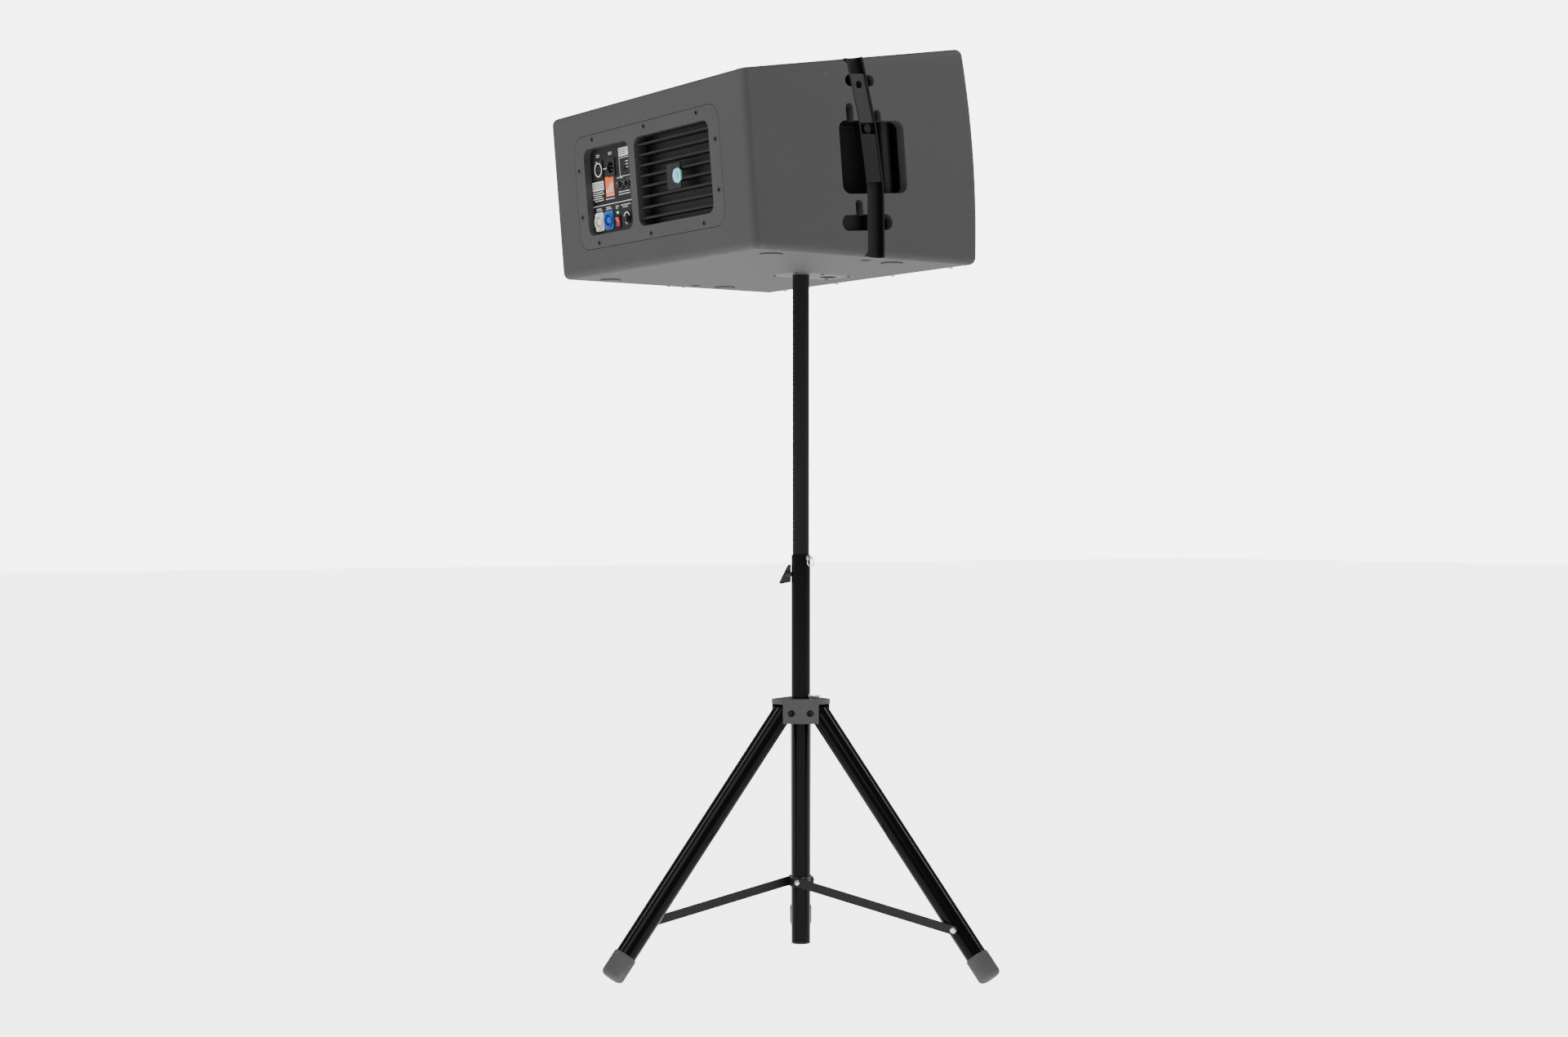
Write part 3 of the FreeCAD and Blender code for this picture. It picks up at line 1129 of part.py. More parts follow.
# ---------------------------------------------------------------- the whole object
def build():
    """Make every piece and give back the ones that are nodes."""
    screws, bolts, rivets, sockets, lamp = (
        cabinet_screws(), hub_bolts(), collar_rivets(), pole_sockets(), power_lamp())
    nodes = [
        cabinet_shell(grille_body("grille_seat", f"{GRILLE_WIDTH} + 2 * grille_side_gap"),
                      [rail_seat(-1), rail_seat(1)], deck_tools(sockets), screws),
        cut("grille", grille_body("grille_blank", GRILLE_WIDTH), screws), front_baffle(), screws]
    nodes += woofer() + list(horn())
    nodes += [amp_panel(screws), heat_sink(), heat_sink_badge(), input_panel(sockets, lamp), lamp]
    nodes += [*signal_sockets(), latch_tab(), power_socket("power_outlet", POWER_OUT),
              power_socket("power_inlet", POWER_IN), knob("gain_knob", GAIN, "knob_radius"),
              knob("trim_knob", TRIM, "trim_radius"), mode_slider(), power_rocker(), breaker_button()]
    nodes += [
        board("amplifier_board", SINK_CENTRE, 190, "collar_depth + sink_plate", (-56, 56), [
            (-60, 25, 16, 34), (-20, 25, 16, 34), (50, -20, 24, 20)]),
        board("power_supply_board", BAY_CENTRE, 120, "input_set_back + input_sheet", (-8, 56), [
            (-25, 20, 20, 28), (25, 30, 12, 22), (15, -28, 17, 24)])]
    for side, hand in ((-1, "left"), (1, "right")):
        nodes += [rigging_rail(side, f"rigging_rail_{hand}"), link_bar(side, f"link_bar_{hand}"),
                  link_pin(side, f"link_pin_{hand}"), handle_cup(side, f"handle_cup_{hand}")]
    nodes += [socket_plate(screws), sockets, cabinet_pads()]
    nodes += [upper_pole(), outer_tube(), tube_plug(), clamp_knob(),
              pull_pin("lock_pin", LOCK_PIN_AZIMUTH, "pin_level", "lock_pin_reach"), lock_pin_ring(),
              pull_pin("hub_pin", HUB_PIN_AZIMUTH, "disc_top + hub_pin_rise", "hub_pin_reach"),
              leg_hub(bolts), bolts]
    for number in (1, 2, 3):
        nodes += [leg(number), foot(number), brace(number)]
    nodes += [lower_collar(rivets), rivets]
    return nodes


def main():
    nodes = build()
    doc.recompute()
    failed = [thing.Name for thing in doc.Objects if {"Invalid", "Error"} & set(thing.State)]
    if failed:
        raise RuntimeError("these objects did not build: " + ", ".join(failed))
    for node in nodes:
        if node.Shape.isNull() or not node.Shape.isValid() or not node.Shape.Solids:
            raise RuntimeError(node.Label + " has no sound shape")
    os.makedirs("parts", exist_ok=True)
    for node in nodes:
        node.Shape.exportStep(os.path.join("parts", node.Label + ".step"))
    print(len(nodes), "nodes written")


main()
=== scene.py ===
"""Finishes and fine pieces of a powered loudspeaker on its folding tripod stand."""

import math

import bpy
from mathutils import Matrix, Vector


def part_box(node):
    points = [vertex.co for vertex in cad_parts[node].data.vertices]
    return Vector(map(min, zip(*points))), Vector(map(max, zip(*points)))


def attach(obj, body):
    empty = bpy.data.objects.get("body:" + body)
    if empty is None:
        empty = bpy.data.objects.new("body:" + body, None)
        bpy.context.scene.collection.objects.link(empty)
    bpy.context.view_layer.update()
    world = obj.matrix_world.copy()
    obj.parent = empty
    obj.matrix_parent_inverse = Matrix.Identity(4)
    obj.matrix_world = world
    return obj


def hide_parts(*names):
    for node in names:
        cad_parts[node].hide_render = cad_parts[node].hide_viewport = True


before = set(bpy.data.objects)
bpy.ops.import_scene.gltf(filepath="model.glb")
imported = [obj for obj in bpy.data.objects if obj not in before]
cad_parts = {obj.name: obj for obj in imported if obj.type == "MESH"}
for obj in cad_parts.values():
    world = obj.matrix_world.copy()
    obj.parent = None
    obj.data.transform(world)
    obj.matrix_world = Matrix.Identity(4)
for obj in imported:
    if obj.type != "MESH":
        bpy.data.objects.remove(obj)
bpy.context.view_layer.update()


# ------------------------------------------------------------------ nodes written as expressions
class Link:
    """A node's output. Arithmetic on it adds the Math nodes."""

    def __init__(self, graph, socket):
        self.graph, self.socket = graph, socket

    def math(self, operation, *values):
        return self.graph.add("ShaderNodeMath", {"operation": operation}, dict(enumerate(values)))

    def __add__(self, other):
        return self.math("ADD", self, other)

    def __mul__(self, other):
        return self.math("MULTIPLY", self, other)

    def __sub__(self, other):
        return self.math("SUBTRACT", self, other)

    def __rsub__(self, other):
        return self.math("SUBTRACT", other, self)

    def __pow__(self, other):
        return self.math("POWER", self, other)

    __radd__, __rmul__ = __add__, __mul__


class Graph:
    """A node tree that nodes are added to by one call each."""

    def __init__(self, tree):
        self.tree = tree

    def add(self, kind, settings=None, sockets=None, output=0):
        """Add a node: its settings are made first, then its sockets get their values or links."""
        node = self.tree.nodes.new(kind)
        for name, setting in (settings or {}).items():
            setattr(node, name, setting)
        for key, value in (sockets or {}).items():
            socket = self.find(node.inputs, key)
            if isinstance(value, Link):
                self.tree.links.new(value.socket, socket)
            else:
                socket.default_value = value
        return Link(self, self.find(node.outputs, output)) if len(node.outputs) else node

    @staticmethod
    def find(sockets, key):
        if isinstance(key, int):
            return sockets[key]
        return next((s for s in sockets if s.identifier == key), None) or sockets[key]


class Finish(Graph):
    """One surface finish, laid out on the object's own coordinates in metres."""

    def __init__(self, name):
        self.material = bpy.data.materials.new(name)
        self.material.use_nodes = True
        super().__init__(self.material.node_tree)
        self.shader = self.tree.nodes["Principled BSDF"]
        self.place = self.add("ShaderNodeTexCoord", output="Object")

    def stretched(self, scale, turn=(0, 0, 0)):
        return self.add("ShaderNodeMapping", {}, {"Vector": self.place, "Scale": scale, "Rotation": turn})

    def noise(self, scale, detail=2.0, at=None):
        return self.add("ShaderNodeTexNoise", {}, {
            "Vector": at or self.place, "Scale": scale, "Detail": detail})

    def cells(self, scale, at=None):
        return self.add("ShaderNodeTexVoronoi", {}, {"Vector": at or self.place, "Scale": scale}, "Distance")

    def axis(self, letter, at=None):
        return self.add("ShaderNodeSeparateXYZ", {}, {"Vector": at or self.place}, letter)

    def steep(self, value, low, high):
        """0 below low and 1 above high, with a smooth step between."""
        return self.add("ShaderNodeMapRange", {"interpolation_type": "SMOOTHSTEP"}, {
            "Value": value, "From Min": low, "From Max": high})

    def mix(self, share, first, second):
        return self.add("ShaderNodeMix", {"data_type": "RGBA"}, {
            "Factor_Float": share, "A_Color": first, "B_Color": second}, "Result_Color")

    def bump(self, height, depth, strength):
        return self.add("ShaderNodeBump", {}, {"Height": height, "Distance": depth, "Strength": strength})

    def done(self, **sockets):
        for name, value in sockets.items():
            socket = self.shader.inputs[name.replace("_", " ")]
            if isinstance(value, Link):
                self.tree.links.new(value.socket, socket)
            else:
                socket.default_value = value
        return self.material


def grey(level, tint=(1.0, 1.0, 1.0)):
    return (level * tint[0], level * tint[1], level * tint[2], 1.0)


# ------------------------------------------------------------------ finishes
def cabinet_paint():
    """Thick sprayed coating on plywood: a pebbled skin with faint clouding and rubbed spots."""
    paint = Finish("textured_cabinet_paint")
    pebbles = paint.cells(620)
    fine = paint.noise(1900, 3)
    cloud = paint.noise(7, 4)
    scuff = paint.steep(paint.noise(38, 5, paint.stretched((1, 1, 3.5))), 0.66, 0.74)
    body = paint.mix(cloud, grey(0.041), grey(0.051, (1, 1, 1.01)))
    speckled = paint.mix(paint.steep(fine, 0.35, 0.75) * 0.35, body, grey(0.064))
    color = paint.mix(scuff * 0.2, speckled, grey(0.082))
    skin = paint.bump(pebbles + fine * 0.4, 0.00022, 0.55)
    return paint.done(Base_Color=color, Roughness=0.56 + 0.16 * fine - scuff * 0.12, Normal=skin,
                      Specular_IOR_Level=0.24)


def powder_coat(name, level, rough, tint=(1, 1, 1)):
    """Satin powder coat on sheet metal, with a fine orange-peel skin."""
    coat = Finish(name)
    peel = coat.noise(900, 2)
    cloud = coat.noise(11, 4)
    color = coat.mix(cloud, grey(level * 0.88, tint), grey(level * 1.12, tint))
    return coat.done(Base_Color=color, Roughness=rough + 0.12 * (peel - 0.5) + 0.08 * (cloud - 0.5),
                     Normal=coat.bump(peel, 0.00010, 0.5), Specular_IOR_Level=0.35)


def gloss_black():
    """Gloss black enamel on the tubes: nearly mirror smooth, with hairline rubs along their length."""
    enamel = Finish("gloss_black_enamel")
    peel = enamel.noise(260, 2)
    dust = enamel.steep(enamel.noise(46, 6), 0.55, 0.85)
    rubs = enamel.steep(enamel.noise(90, 4, enamel.stretched((6, 6, 0.25))), 0.66, 0.76)
    color = enamel.mix(dust * 0.4 + rubs * 0.2, grey(0.0018), grey(0.0045))
    return enamel.done(Base_Color=color, Roughness=0.17 + 0.04 * dust + 0.06 * rubs,
                       Normal=enamel.bump(peel, 0.00002, 0.3), Specular_IOR_Level=0.10)


def satin_pole():
    """Satin black pole that has been raised and lowered: drawn lines and rings of rubbing."""
    satin = Finish("satin_black_pole")
    drawn = satin.noise(420, 3, satin.stretched((1, 1, 0.02)))
    rings = satin.noise(130, 3, satin.stretched((0.05, 0.05, 1)))
    worn = satin.steep(rings * 0.3 + drawn * 0.7, 0.45, 0.7)
    color = satin.mix(worn * 0.3, grey(0.0060), grey(0.0110))
    return satin.done(Base_Color=color, Roughness=0.38 + 0.06 * drawn - 0.03 * worn,
                      Normal=satin.bump(drawn, 0.00001, 0.3), Specular_IOR_Level=0.16)


def hub_casting():
    """Painted casting with a sandy skin, and painted shade making its low spots darker."""
    cast = Finish("grey_painted_casting")
    sand = cast.noise(520, 5)
    pits = cast.steep(cast.cells(240), 0.0, 0.16)
    cloud = cast.noise(24, 4)
    color = cast.mix(cloud, grey(0.040), grey(0.056))
    # painted shade: the middle of each pit, its low spot, is mixed halfway towards dark grey
    pits_painted_shade_color = cast.mix((1 - pits) * 0.5, color, grey(0.02))
    return cast.done(Base_Color=pits_painted_shade_color, Roughness=0.45 + 0.2 * sand,
                     Normal=cast.bump(sand + pits * 0.4, 0.00025, 0.6), Specular_IOR_Level=0.4)


def boot_rubber():
    """Grey moulded rubber, scuffed and dusty where it meets the floor."""
    rubber = Finish("grey_boot_rubber")
    height = rubber.axis("Z")
    floor_dust = (1 - rubber.steep(height, 0.002, 0.03)) * rubber.noise(70, 5)
    grainy = rubber.noise(700, 3)
    scuff = rubber.steep(rubber.noise(60, 6), 0.55, 0.7)
    color = rubber.mix(rubber.noise(18, 3), grey(0.055), grey(0.075))
    scuffed = rubber.mix(scuff * 0.3 + floor_dust * 0.5, color, grey(0.13, (1, 0.98, 0.94)))
    return rubber.done(Base_Color=scuffed, Roughness=0.72 + 0.16 * grainy,
                       Normal=rubber.bump(grainy, 0.00015, 0.5), Specular_IOR_Level=0.3)


def bright_steel():
    """Plated steel with fine polishing lines."""
    steel = Finish("bright_plated_steel")
    lines = steel.noise(900, 2, steel.stretched((1, 1, 0.06)))
    tarnish = steel.steep(steel.noise(150, 4), 0.55, 0.8)
    color = steel.mix(tarnish * 0.3, grey(0.78), grey(0.52, (1, 0.97, 0.92)))
    return steel.done(Base_Color=color, Metallic=1.0, Roughness=0.14 + 0.12 * lines + 0.15 * tarnish,
                      Normal=steel.bump(lines, 0.00002, 0.3))


def black_oxide():
    """Blackened steel fasteners, a little brighter where a driver has turned them."""
    oxide = Finish("black_oxide_steel")
    fleck = oxide.noise(1500, 4)
    color = oxide.mix(oxide.steep(fleck, 0.5, 0.75) * 0.5, grey(0.012), grey(0.05))
    return oxide.done(Base_Color=color, Metallic=0.7, Roughness=0.34 + 0.2 * fleck,
                      Normal=oxide.bump(fleck, 0.00005, 0.4))


def anodised(name, level, along):
    """Black anodised aluminium with the lines of its extrusion or brushing along one way."""
    metal = Finish(name)
    lines = metal.noise(700, 3, metal.stretched(along))
    cloud = metal.noise(15, 3)
    color = metal.mix(lines, grey(level * 0.7), grey(level * 1.4))
    return metal.done(Base_Color=color, Metallic=0.35, Roughness=0.36 + 0.12 * lines + 0.08 * (cloud - 0.5),
                      Normal=metal.bump(lines, 0.00004, 0.5))


def moulded_plastic(name, color, rough=0.42, texture=1300):
    """Moulded plastic with a fine spark-eroded texture."""
    plastic = Finish(name)
    spark = plastic.noise(texture, 3)
    cloud = plastic.noise(30, 3)
    darker = tuple(c * 0.82 for c in color[:3]) + (1.0,)
    shade = plastic.mix(cloud, darker, color)
    return plastic.done(Base_Color=shade, Roughness=rough + 0.14 * (spark - 0.5),
                        Normal=plastic.bump(spark, 0.00005, 0.5), Specular_IOR_Level=0.4)


def cone_pulp():
    """Pressed pulp, felted and slightly hairy."""
    pulp = Finish("pressed_pulp")
    felt = pulp.noise(600, 6)
    fibres = pulp.noise(300, 5, pulp.stretched((1, 6, 1)))
    color = pulp.mix(felt * 0.6 + fibres * 0.4, grey(0.012), grey(0.045))
    return pulp.done(Base_Color=color, Roughness=0.8 + 0.1 * felt,
                     Normal=pulp.bump(felt + fibres, 0.0003, 0.6))


def open_foam():
    """Acoustic foam: open black cells, with painted shade darkening the middle of each pore."""
    foam = Finish("open_cell_foam")
    cells = foam.cells(900)
    # painted shade: each pore's middle is darker than the cell walls round it
    color = foam.mix(foam.steep(cells, 0.1, 0.6), grey(0.002), grey(0.014))
    return foam.done(Base_Color=color, Roughness=0.95 - 0.05 * cells, Normal=foam.bump(cells, 0.0006, 0.8),
                     Specular_IOR_Level=0.1)


def ferrite():
    """Fired magnet ceramic with plated steel plates either side."""
    stone = Finish("magnet_ferrite")
    speck = stone.noise(400, 5)
    color = stone.mix(speck, grey(0.03), grey(0.09))
    return stone.done(Base_Color=color, Roughness=0.55 + 0.2 * speck, Metallic=0.2,
                      Normal=stone.bump(speck, 0.0001, 0.5))


def lacquered_board():
    """A lacquered circuit board with a lattice of copper tracks under the green."""
    board = Finish("lacquered_board")
    weave = board.noise(260, 2, board.stretched((1, 0.15, 1)))
    tracks = board.steep(weave, 0.5, 0.53)
    color = board.mix(tracks, (0.006, 0.05, 0.018, 1), (0.02, 0.13, 0.04, 1))
    return board.done(Base_Color=color, Roughness=0.3 + 0.1 * weave, Normal=board.bump(tracks, 0.00004, 0.4))


def printed_ink(name, color):
    """Screen-printed ink, thin and slightly uneven."""
    ink = Finish(name)
    patch = ink.noise(500, 4)
    thin = tuple(c * 0.8 for c in color[:3]) + (1.0,)
    return ink.done(Base_Color=ink.mix(patch, thin, color), Roughness=0.45 + 0.1 * patch,
                    Normal=ink.bump(patch, 0.00002, 0.3))


def badge_face():
    """Gloss black badge with a pale cyan disc and a plain ring in it."""
    badge = Finish("badge_gloss")
    middle = in_cabinet(-0.0925, 0, -0.003)
    flat = badge.stretched((1, 1, 1), (LEAN, 0, 0))
    side = badge.axis("X", flat) - middle.x
    up = badge.axis("Z", flat) - badge_height()
    reach = (side * side + up * up) ** 0.5
    disc = 1 - badge.steep(reach, 0.0118, 0.0122)
    ring_line = badge.steep(reach, 0.0066, 0.0070) * (1 - badge.steep(reach, 0.0082, 0.0086))
    haze = badge.noise(90, 3)
    cyan = badge.mix(haze, (0.10, 0.50, 0.60, 1), (0.22, 0.66, 0.74, 1))
    color = badge.mix(disc, grey(0.012), badge.mix(ring_line, cyan, grey(0.75)))
    return badge.done(Base_Color=color, Roughness=0.22 + 0.1 * haze)


def badge_height():
    """The badge's middle along its own upright, as the leaning frame measures it."""
    low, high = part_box("heat_sink_badge")
    middle = (low + high) / 2
    return middle.z * math.cos(LEAN) + middle.y * math.sin(LEAN)


def lit_lens(name, color, glow):
    """A tinted lens with a soft inner light."""
    lens = Finish(name)
    core = lens.noise(400, 2)
    return lens.done(Base_Color=lens.mix(core, color, grey(0.8)), Roughness=0.16 + 0.08 * core,
                     Emission_Color=lens.mix(core * 0.5, color, grey(1.0)), Emission_Strength=glow)


# ------------------------------------------------------------------ the cabinet's own frame
LEAN = math.radians(5)
BACK_MIDDLE = Vector((0, 0.304907, 1.296098))
FRONT_CHORD, FRONT_BULGE, FRONT_HALF = -0.433, 0.011, 0.1745
FRONT_RADIUS = (FRONT_HALF ** 2 + FRONT_BULGE ** 2) / (2 * FRONT_BULGE)
ARC_CENTRE = FRONT_CHORD - FRONT_BULGE + FRONT_RADIUS
INPUT_FACE = -0.0125
IN_CABINET = Matrix.Translation(BACK_MIDDLE) @ Matrix.Rotation(-LEAN, 4, "X")


def in_cabinet(side, back, up):
    """A point in the row frame from one in the cabinet's: mid-height of the back, back positive outwards."""
    return IN_CABINET @ Vector((side, back, up))


def turned_in_cabinet(vector):
    return IN_CABINET.to_3x3() @ Vector(vector)


# ------------------------------------------------------------------ making pieces
def piece(name, mesh, material, body, replaces=()):
    """Put a finished mesh in the scene on its body."""
    thing = bpy.data.objects.new(name, mesh)
    bpy.context.scene.collection.objects.link(thing)
    mesh.name = name
    if material is not None:
        mesh.materials.clear()
        mesh.materials.append(material)
    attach(thing, body)
    if replaces:
        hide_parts(*replaces)
    return thing


def mesh_of(points, faces, smooth=False, angle=None):
    mesh = bpy.data.meshes.new("mesh")
    mesh.from_pydata([tuple(p) for p in points], [], faces)
    mesh.validate()
    for polygon in mesh.polygons:
        polygon.use_smooth = smooth
    if smooth and angle:
        mesh.set_sharp_from_angle(angle=math.radians(angle))
    return mesh


def evaluated(mesh, *modifiers):
    """The plain mesh that a mesh's modifiers give. Each modifier is its type and its settings."""
    thing = bpy.data.objects.new("work", mesh)
    bpy.context.scene.collection.objects.link(thing)
    for kind, settings in modifiers:
        modifier = thing.modifiers.new(kind.lower(), kind)
        for key, value in settings.items():
            if kind == "NODES" and key != "node_group":
                modifier[socket_of(modifier.node_group, key)] = value
            else:
                setattr(modifier, key, value)
    depsgraph = bpy.context.evaluated_depsgraph_get()
    result = bpy.data.meshes.new_from_object(thing.evaluated_get(depsgraph), depsgraph=depsgraph)
    thing.modifiers.clear()
    bpy.data.objects.remove(thing)
    return result


def lathe(profile, steps, at, out, radius_at=None):
    """Turn (radius, height) corners about an axis. radius_at(share of turn, radius) may flute it."""
    place = Matrix.Translation(at) @ Vector(out).to_track_quat("Z", "Y").to_matrix().to_4x4()
    points, faces = [], []
    for radius, height in profile:
        for step in range(steps):
            share = step / steps
            reach, turn = radius_at(share, radius) if radius_at else radius, share * math.tau
            points.append(place @ Vector((reach * math.cos(turn), reach * math.sin(turn), height)))
    for row in range(len(profile) - 1):
        for step in range(steps):
            near, far = row * steps + step, row * steps + (step + 1) % steps
            faces.append((near, far, far + steps, near + steps))
    faces.append(tuple(reversed(range(steps))))
    faces.append(tuple(range((len(profile) - 1) * steps, len(profile) * steps)))
    return points, faces


def joined(*solids):
    points, faces = [], []
    for more_points, more_faces in solids:
        faces += [tuple(index + len(points) for index in face) for face in more_faces]
        points += more_points
    return points, faces


# ------------------------------------------------------------------ node groups for what repeats
def node_group(name, inputs):
    """An empty geometry group with named inputs, and the graph to fill it."""
    tree = bpy.data.node_groups.new(name, "GeometryNodeTree")
    tree.interface.new_socket("Geometry", in_out="OUTPUT", socket_type="NodeSocketGeometry")
    tree.interface.new_socket("Geometry", in_out="INPUT", socket_type="NodeSocketGeometry")
    for label, (kind, default) in inputs.items():
        socket = tree.interface.new_socket(label, in_out="INPUT", socket_type="NodeSocket" + kind)
        if default is not None:
            socket.default_value = default
    graph = Graph(tree)
    entry = tree.nodes.new("NodeGroupInput")
    return tree, graph, {socket.name: Link(graph, socket) for socket in entry.outputs if socket.name}


def socket_of(tree, label):
    return next(item.identifier for item in tree.interface.items_tree
                if item.name == label and item.in_out == "INPUT")


def close_group(tree, graph, geometry, material):
    real = graph.add("GeometryNodeRealizeInstances", {}, {"Geometry": geometry})
    finished = graph.add("GeometryNodeSetMaterial", {}, {"Geometry": real, "Material": material})
    leave = tree.nodes.new("NodeGroupOutput")
    tree.links.new(finished.socket, leave.inputs[0])
    return tree


def perforated_sheet():
    """A flat sheet of hexagonal holes: the dual of a staggered grid, each cell inset and opened."""
    tree, graph, given = node_group("perforated_sheet", {
        "Columns": ("Int", 84), "Rows": ("Int", 56), "Pitch": ("Float", 0.0064), "Web": ("Float", 0.7),
        "Thickness": ("Float", 0.0015), "Material": ("Material", None)})
    pitch, columns, rows = given["Pitch"], given["Columns"], given["Rows"]
    grid = graph.add("GeometryNodeMeshGrid", {}, {
        "Size X": pitch * (columns - 1), "Size Y": pitch * (rows - 1) * (math.sqrt(3) / 2),
        "Vertices X": columns, "Vertices Y": rows})
    index = graph.add("GeometryNodeInputIndex")
    odd = index.math("MODULO", index, 2)
    shift = graph.add("ShaderNodeCombineXYZ", {}, {"X": (odd - 0.5) * pitch * 0.5})
    staggered = graph.add("GeometryNodeSetPosition", {}, {"Geometry": grid, "Offset": shift})
    triangles = graph.add("GeometryNodeTriangulate", {}, {"Mesh": staggered})
    hexagons = graph.add("GeometryNodeDualMesh", {}, {"Mesh": triangles})
    extrude = graph.add("GeometryNodeExtrudeMesh", {"mode": "FACES"}, {
        "Mesh": hexagons, "Offset Scale": 0.0, "Individual": True})
    top = Link(graph, extrude.socket.node.outputs["Top"])
    inset = graph.add("GeometryNodeScaleElements", {}, {
        "Geometry": extrude, "Selection": top, "Scale": given["Web"]})
    open_cells = graph.add("GeometryNodeDeleteGeometry", {"domain": "FACE"}, {
        "Geometry": inset, "Selection": top})
    thick = graph.add("GeometryNodeExtrudeMesh", {"mode": "FACES"}, {
        "Mesh": graph.add("GeometryNodeMergeByDistance", {}, {"Geometry": open_cells, "Distance": 0.00001}),
        "Offset Scale": given["Thickness"], "Individual": False})
    back = graph.add("GeometryNodeFlipFaces", {}, {
        "Mesh": graph.add("GeometryNodeMergeByDistance", {}, {"Geometry": open_cells, "Distance": 0.00001})})
    both = tree.nodes.new("GeometryNodeJoinGeometry")
    for part in (back, thick):
        tree.links.new(part.socket, both.inputs[0])
    closed = graph.add("GeometryNodeMergeByDistance", {}, {
        "Geometry": Link(graph, both.outputs[0]), "Distance": 0.00001})
    return close_group(tree, graph, closed, given["Material"])


def socket_screws():
    """Dome-headed socket screws on the mesh's points, each along the point's own "out" direction."""
    tree, graph, given = node_group("socket_screws", {
        "Head Radius": ("Float", 0.004), "Head Height": ("Float", 0.002), "Socket Radius": ("Float", 0.0017),
        "Socket Depth": ("Float", 0.0013), "Sides": ("Int", 6), "Material": ("Material", None)})
    radius, height = given["Head Radius"], given["Head Height"]
    rim = graph.add("GeometryNodeMeshCone", {"fill_type": "NGON"}, {
        "Vertices": 20, "Side Segments": 1, "Radius Top": radius * 0.9, "Radius Bottom": radius,
        "Depth": height * 0.5})
    crown = graph.add("GeometryNodeMeshCone", {"fill_type": "NGON"}, {
        "Vertices": 20, "Side Segments": 1, "Radius Top": radius * 0.55, "Radius Bottom": radius * 0.9,
        "Depth": height * 0.5})
    raised = graph.add("GeometryNodeTransform", {}, {
        "Geometry": crown, "Translation": graph.add("ShaderNodeCombineXYZ", {}, {"Z": height * 0.5})})
    head = tree.nodes.new("GeometryNodeJoinGeometry")
    for part in (rim, raised):
        tree.links.new(part.socket, head.inputs[0])
    welded = graph.add("GeometryNodeMergeByDistance", {}, {
        "Geometry": Link(graph, head.outputs[0]), "Distance": 0.00001})
    bit = graph.add("GeometryNodeMeshCylinder", {"fill_type": "NGON"}, {
        "Vertices": given["Sides"], "Radius": given["Socket Radius"], "Depth": given["Socket Depth"] * 2})
    seated = graph.add("GeometryNodeTransform", {}, {
        "Geometry": bit, "Translation": graph.add("ShaderNodeCombineXYZ", {}, {"Z": height})})
    drilled = graph.add("GeometryNodeMeshBoolean", {"operation": "DIFFERENCE"}, {
        "Mesh 1": welded, "Mesh 2": seated})
    out = graph.add("GeometryNodeInputNamedAttribute", {"data_type": "FLOAT_VECTOR"}, {"Name": "out"})
    facing = graph.add("FunctionNodeAlignRotationToVector", {"axis": "Z"}, {"Vector": out})
    many = graph.add("GeometryNodeInstanceOnPoints", {}, {
        "Points": given["Geometry"], "Instance": drilled, "Rotation": facing})
    return close_group(tree, graph, many, given["Material"])


def points_with_way(places):
    """A mesh of loose points, each with its own "out" direction."""
    mesh = bpy.data.meshes.new("places")
    mesh.from_pydata([tuple(at) for at, way in places], [], [])
    ways = mesh.attributes.new("out", "FLOAT_VECTOR", "POINT")
    for index, (at, way) in enumerate(places):
        ways.data[index].vector = Vector(way).normalized()
    return mesh


# ------------------------------------------------------------------ grille
def bent_to_front(mesh, proud=0.0):
    """Bend a flat sheet (x, height, depth) to the front's curve and lean it with the cabinet."""
    for vertex in mesh.vertices:
        side, along, outwards = vertex.co
        turn, reach = along / FRONT_RADIUS, FRONT_RADIUS + outwards + proud
        vertex.co = in_cabinet(side, ARC_CENTRE - reach * math.cos(turn), reach * math.sin(turn))
    return mesh


GRILLE_HALF_WIDTH, GRILLE_SHEET, GRILLE_EDGE, GRILLE_FLANGE = 0.2775, 0.0015, 0.012, 0.015
FIELD_HALF_WIDTH, FIELD_HALF_HEIGHT = 0.262, 0.154


def grille_section():
    """The sheet's outer line from the lower flange round to the upper, as (back, up), and its arc's rows."""
    upper = []
    flange_end = (FRONT_CHORD + GRILLE_FLANGE * math.cos(LEAN), FRONT_HALF - GRILLE_FLANGE * math.sin(LEAN))
    slope = Vector((math.cos(LEAN), -math.sin(LEAN)))
    front = Vector((math.sin(FRONT_HALF / FRONT_RADIUS), math.cos(FRONT_HALF / FRONT_RADIUS)))
    corner = Vector((FRONT_CHORD, FRONT_HALF))
    upper.append(Vector(flange_end))
    reach = GRILLE_EDGE * math.tan((math.pi / 2 - LEAN + math.asin(front.x)) / 2) * 0.98
    start, end = corner + slope * reach, corner - front * reach
    for step in range(9):
        t = step / 8
        pull = corner * 2 * t * (1 - t) * 0.55 + (start + end) * t * (1 - t) * 0.45
        upper.append(start * (1 - t) ** 2 + pull + end * t ** 2)
    top_turn = math.asin(end.y / FRONT_RADIUS) - 0.0008
    rows = []
    for step in range(1, 32):
        turn = top_turn * (1 - step / 16)
        rows.append(Vector((ARC_CENTRE - FRONT_RADIUS * math.cos(turn), FRONT_RADIUS * math.sin(turn))))
    lower = [Vector((point.x, -point.y)) for point in reversed(upper)]
    return upper + rows + lower


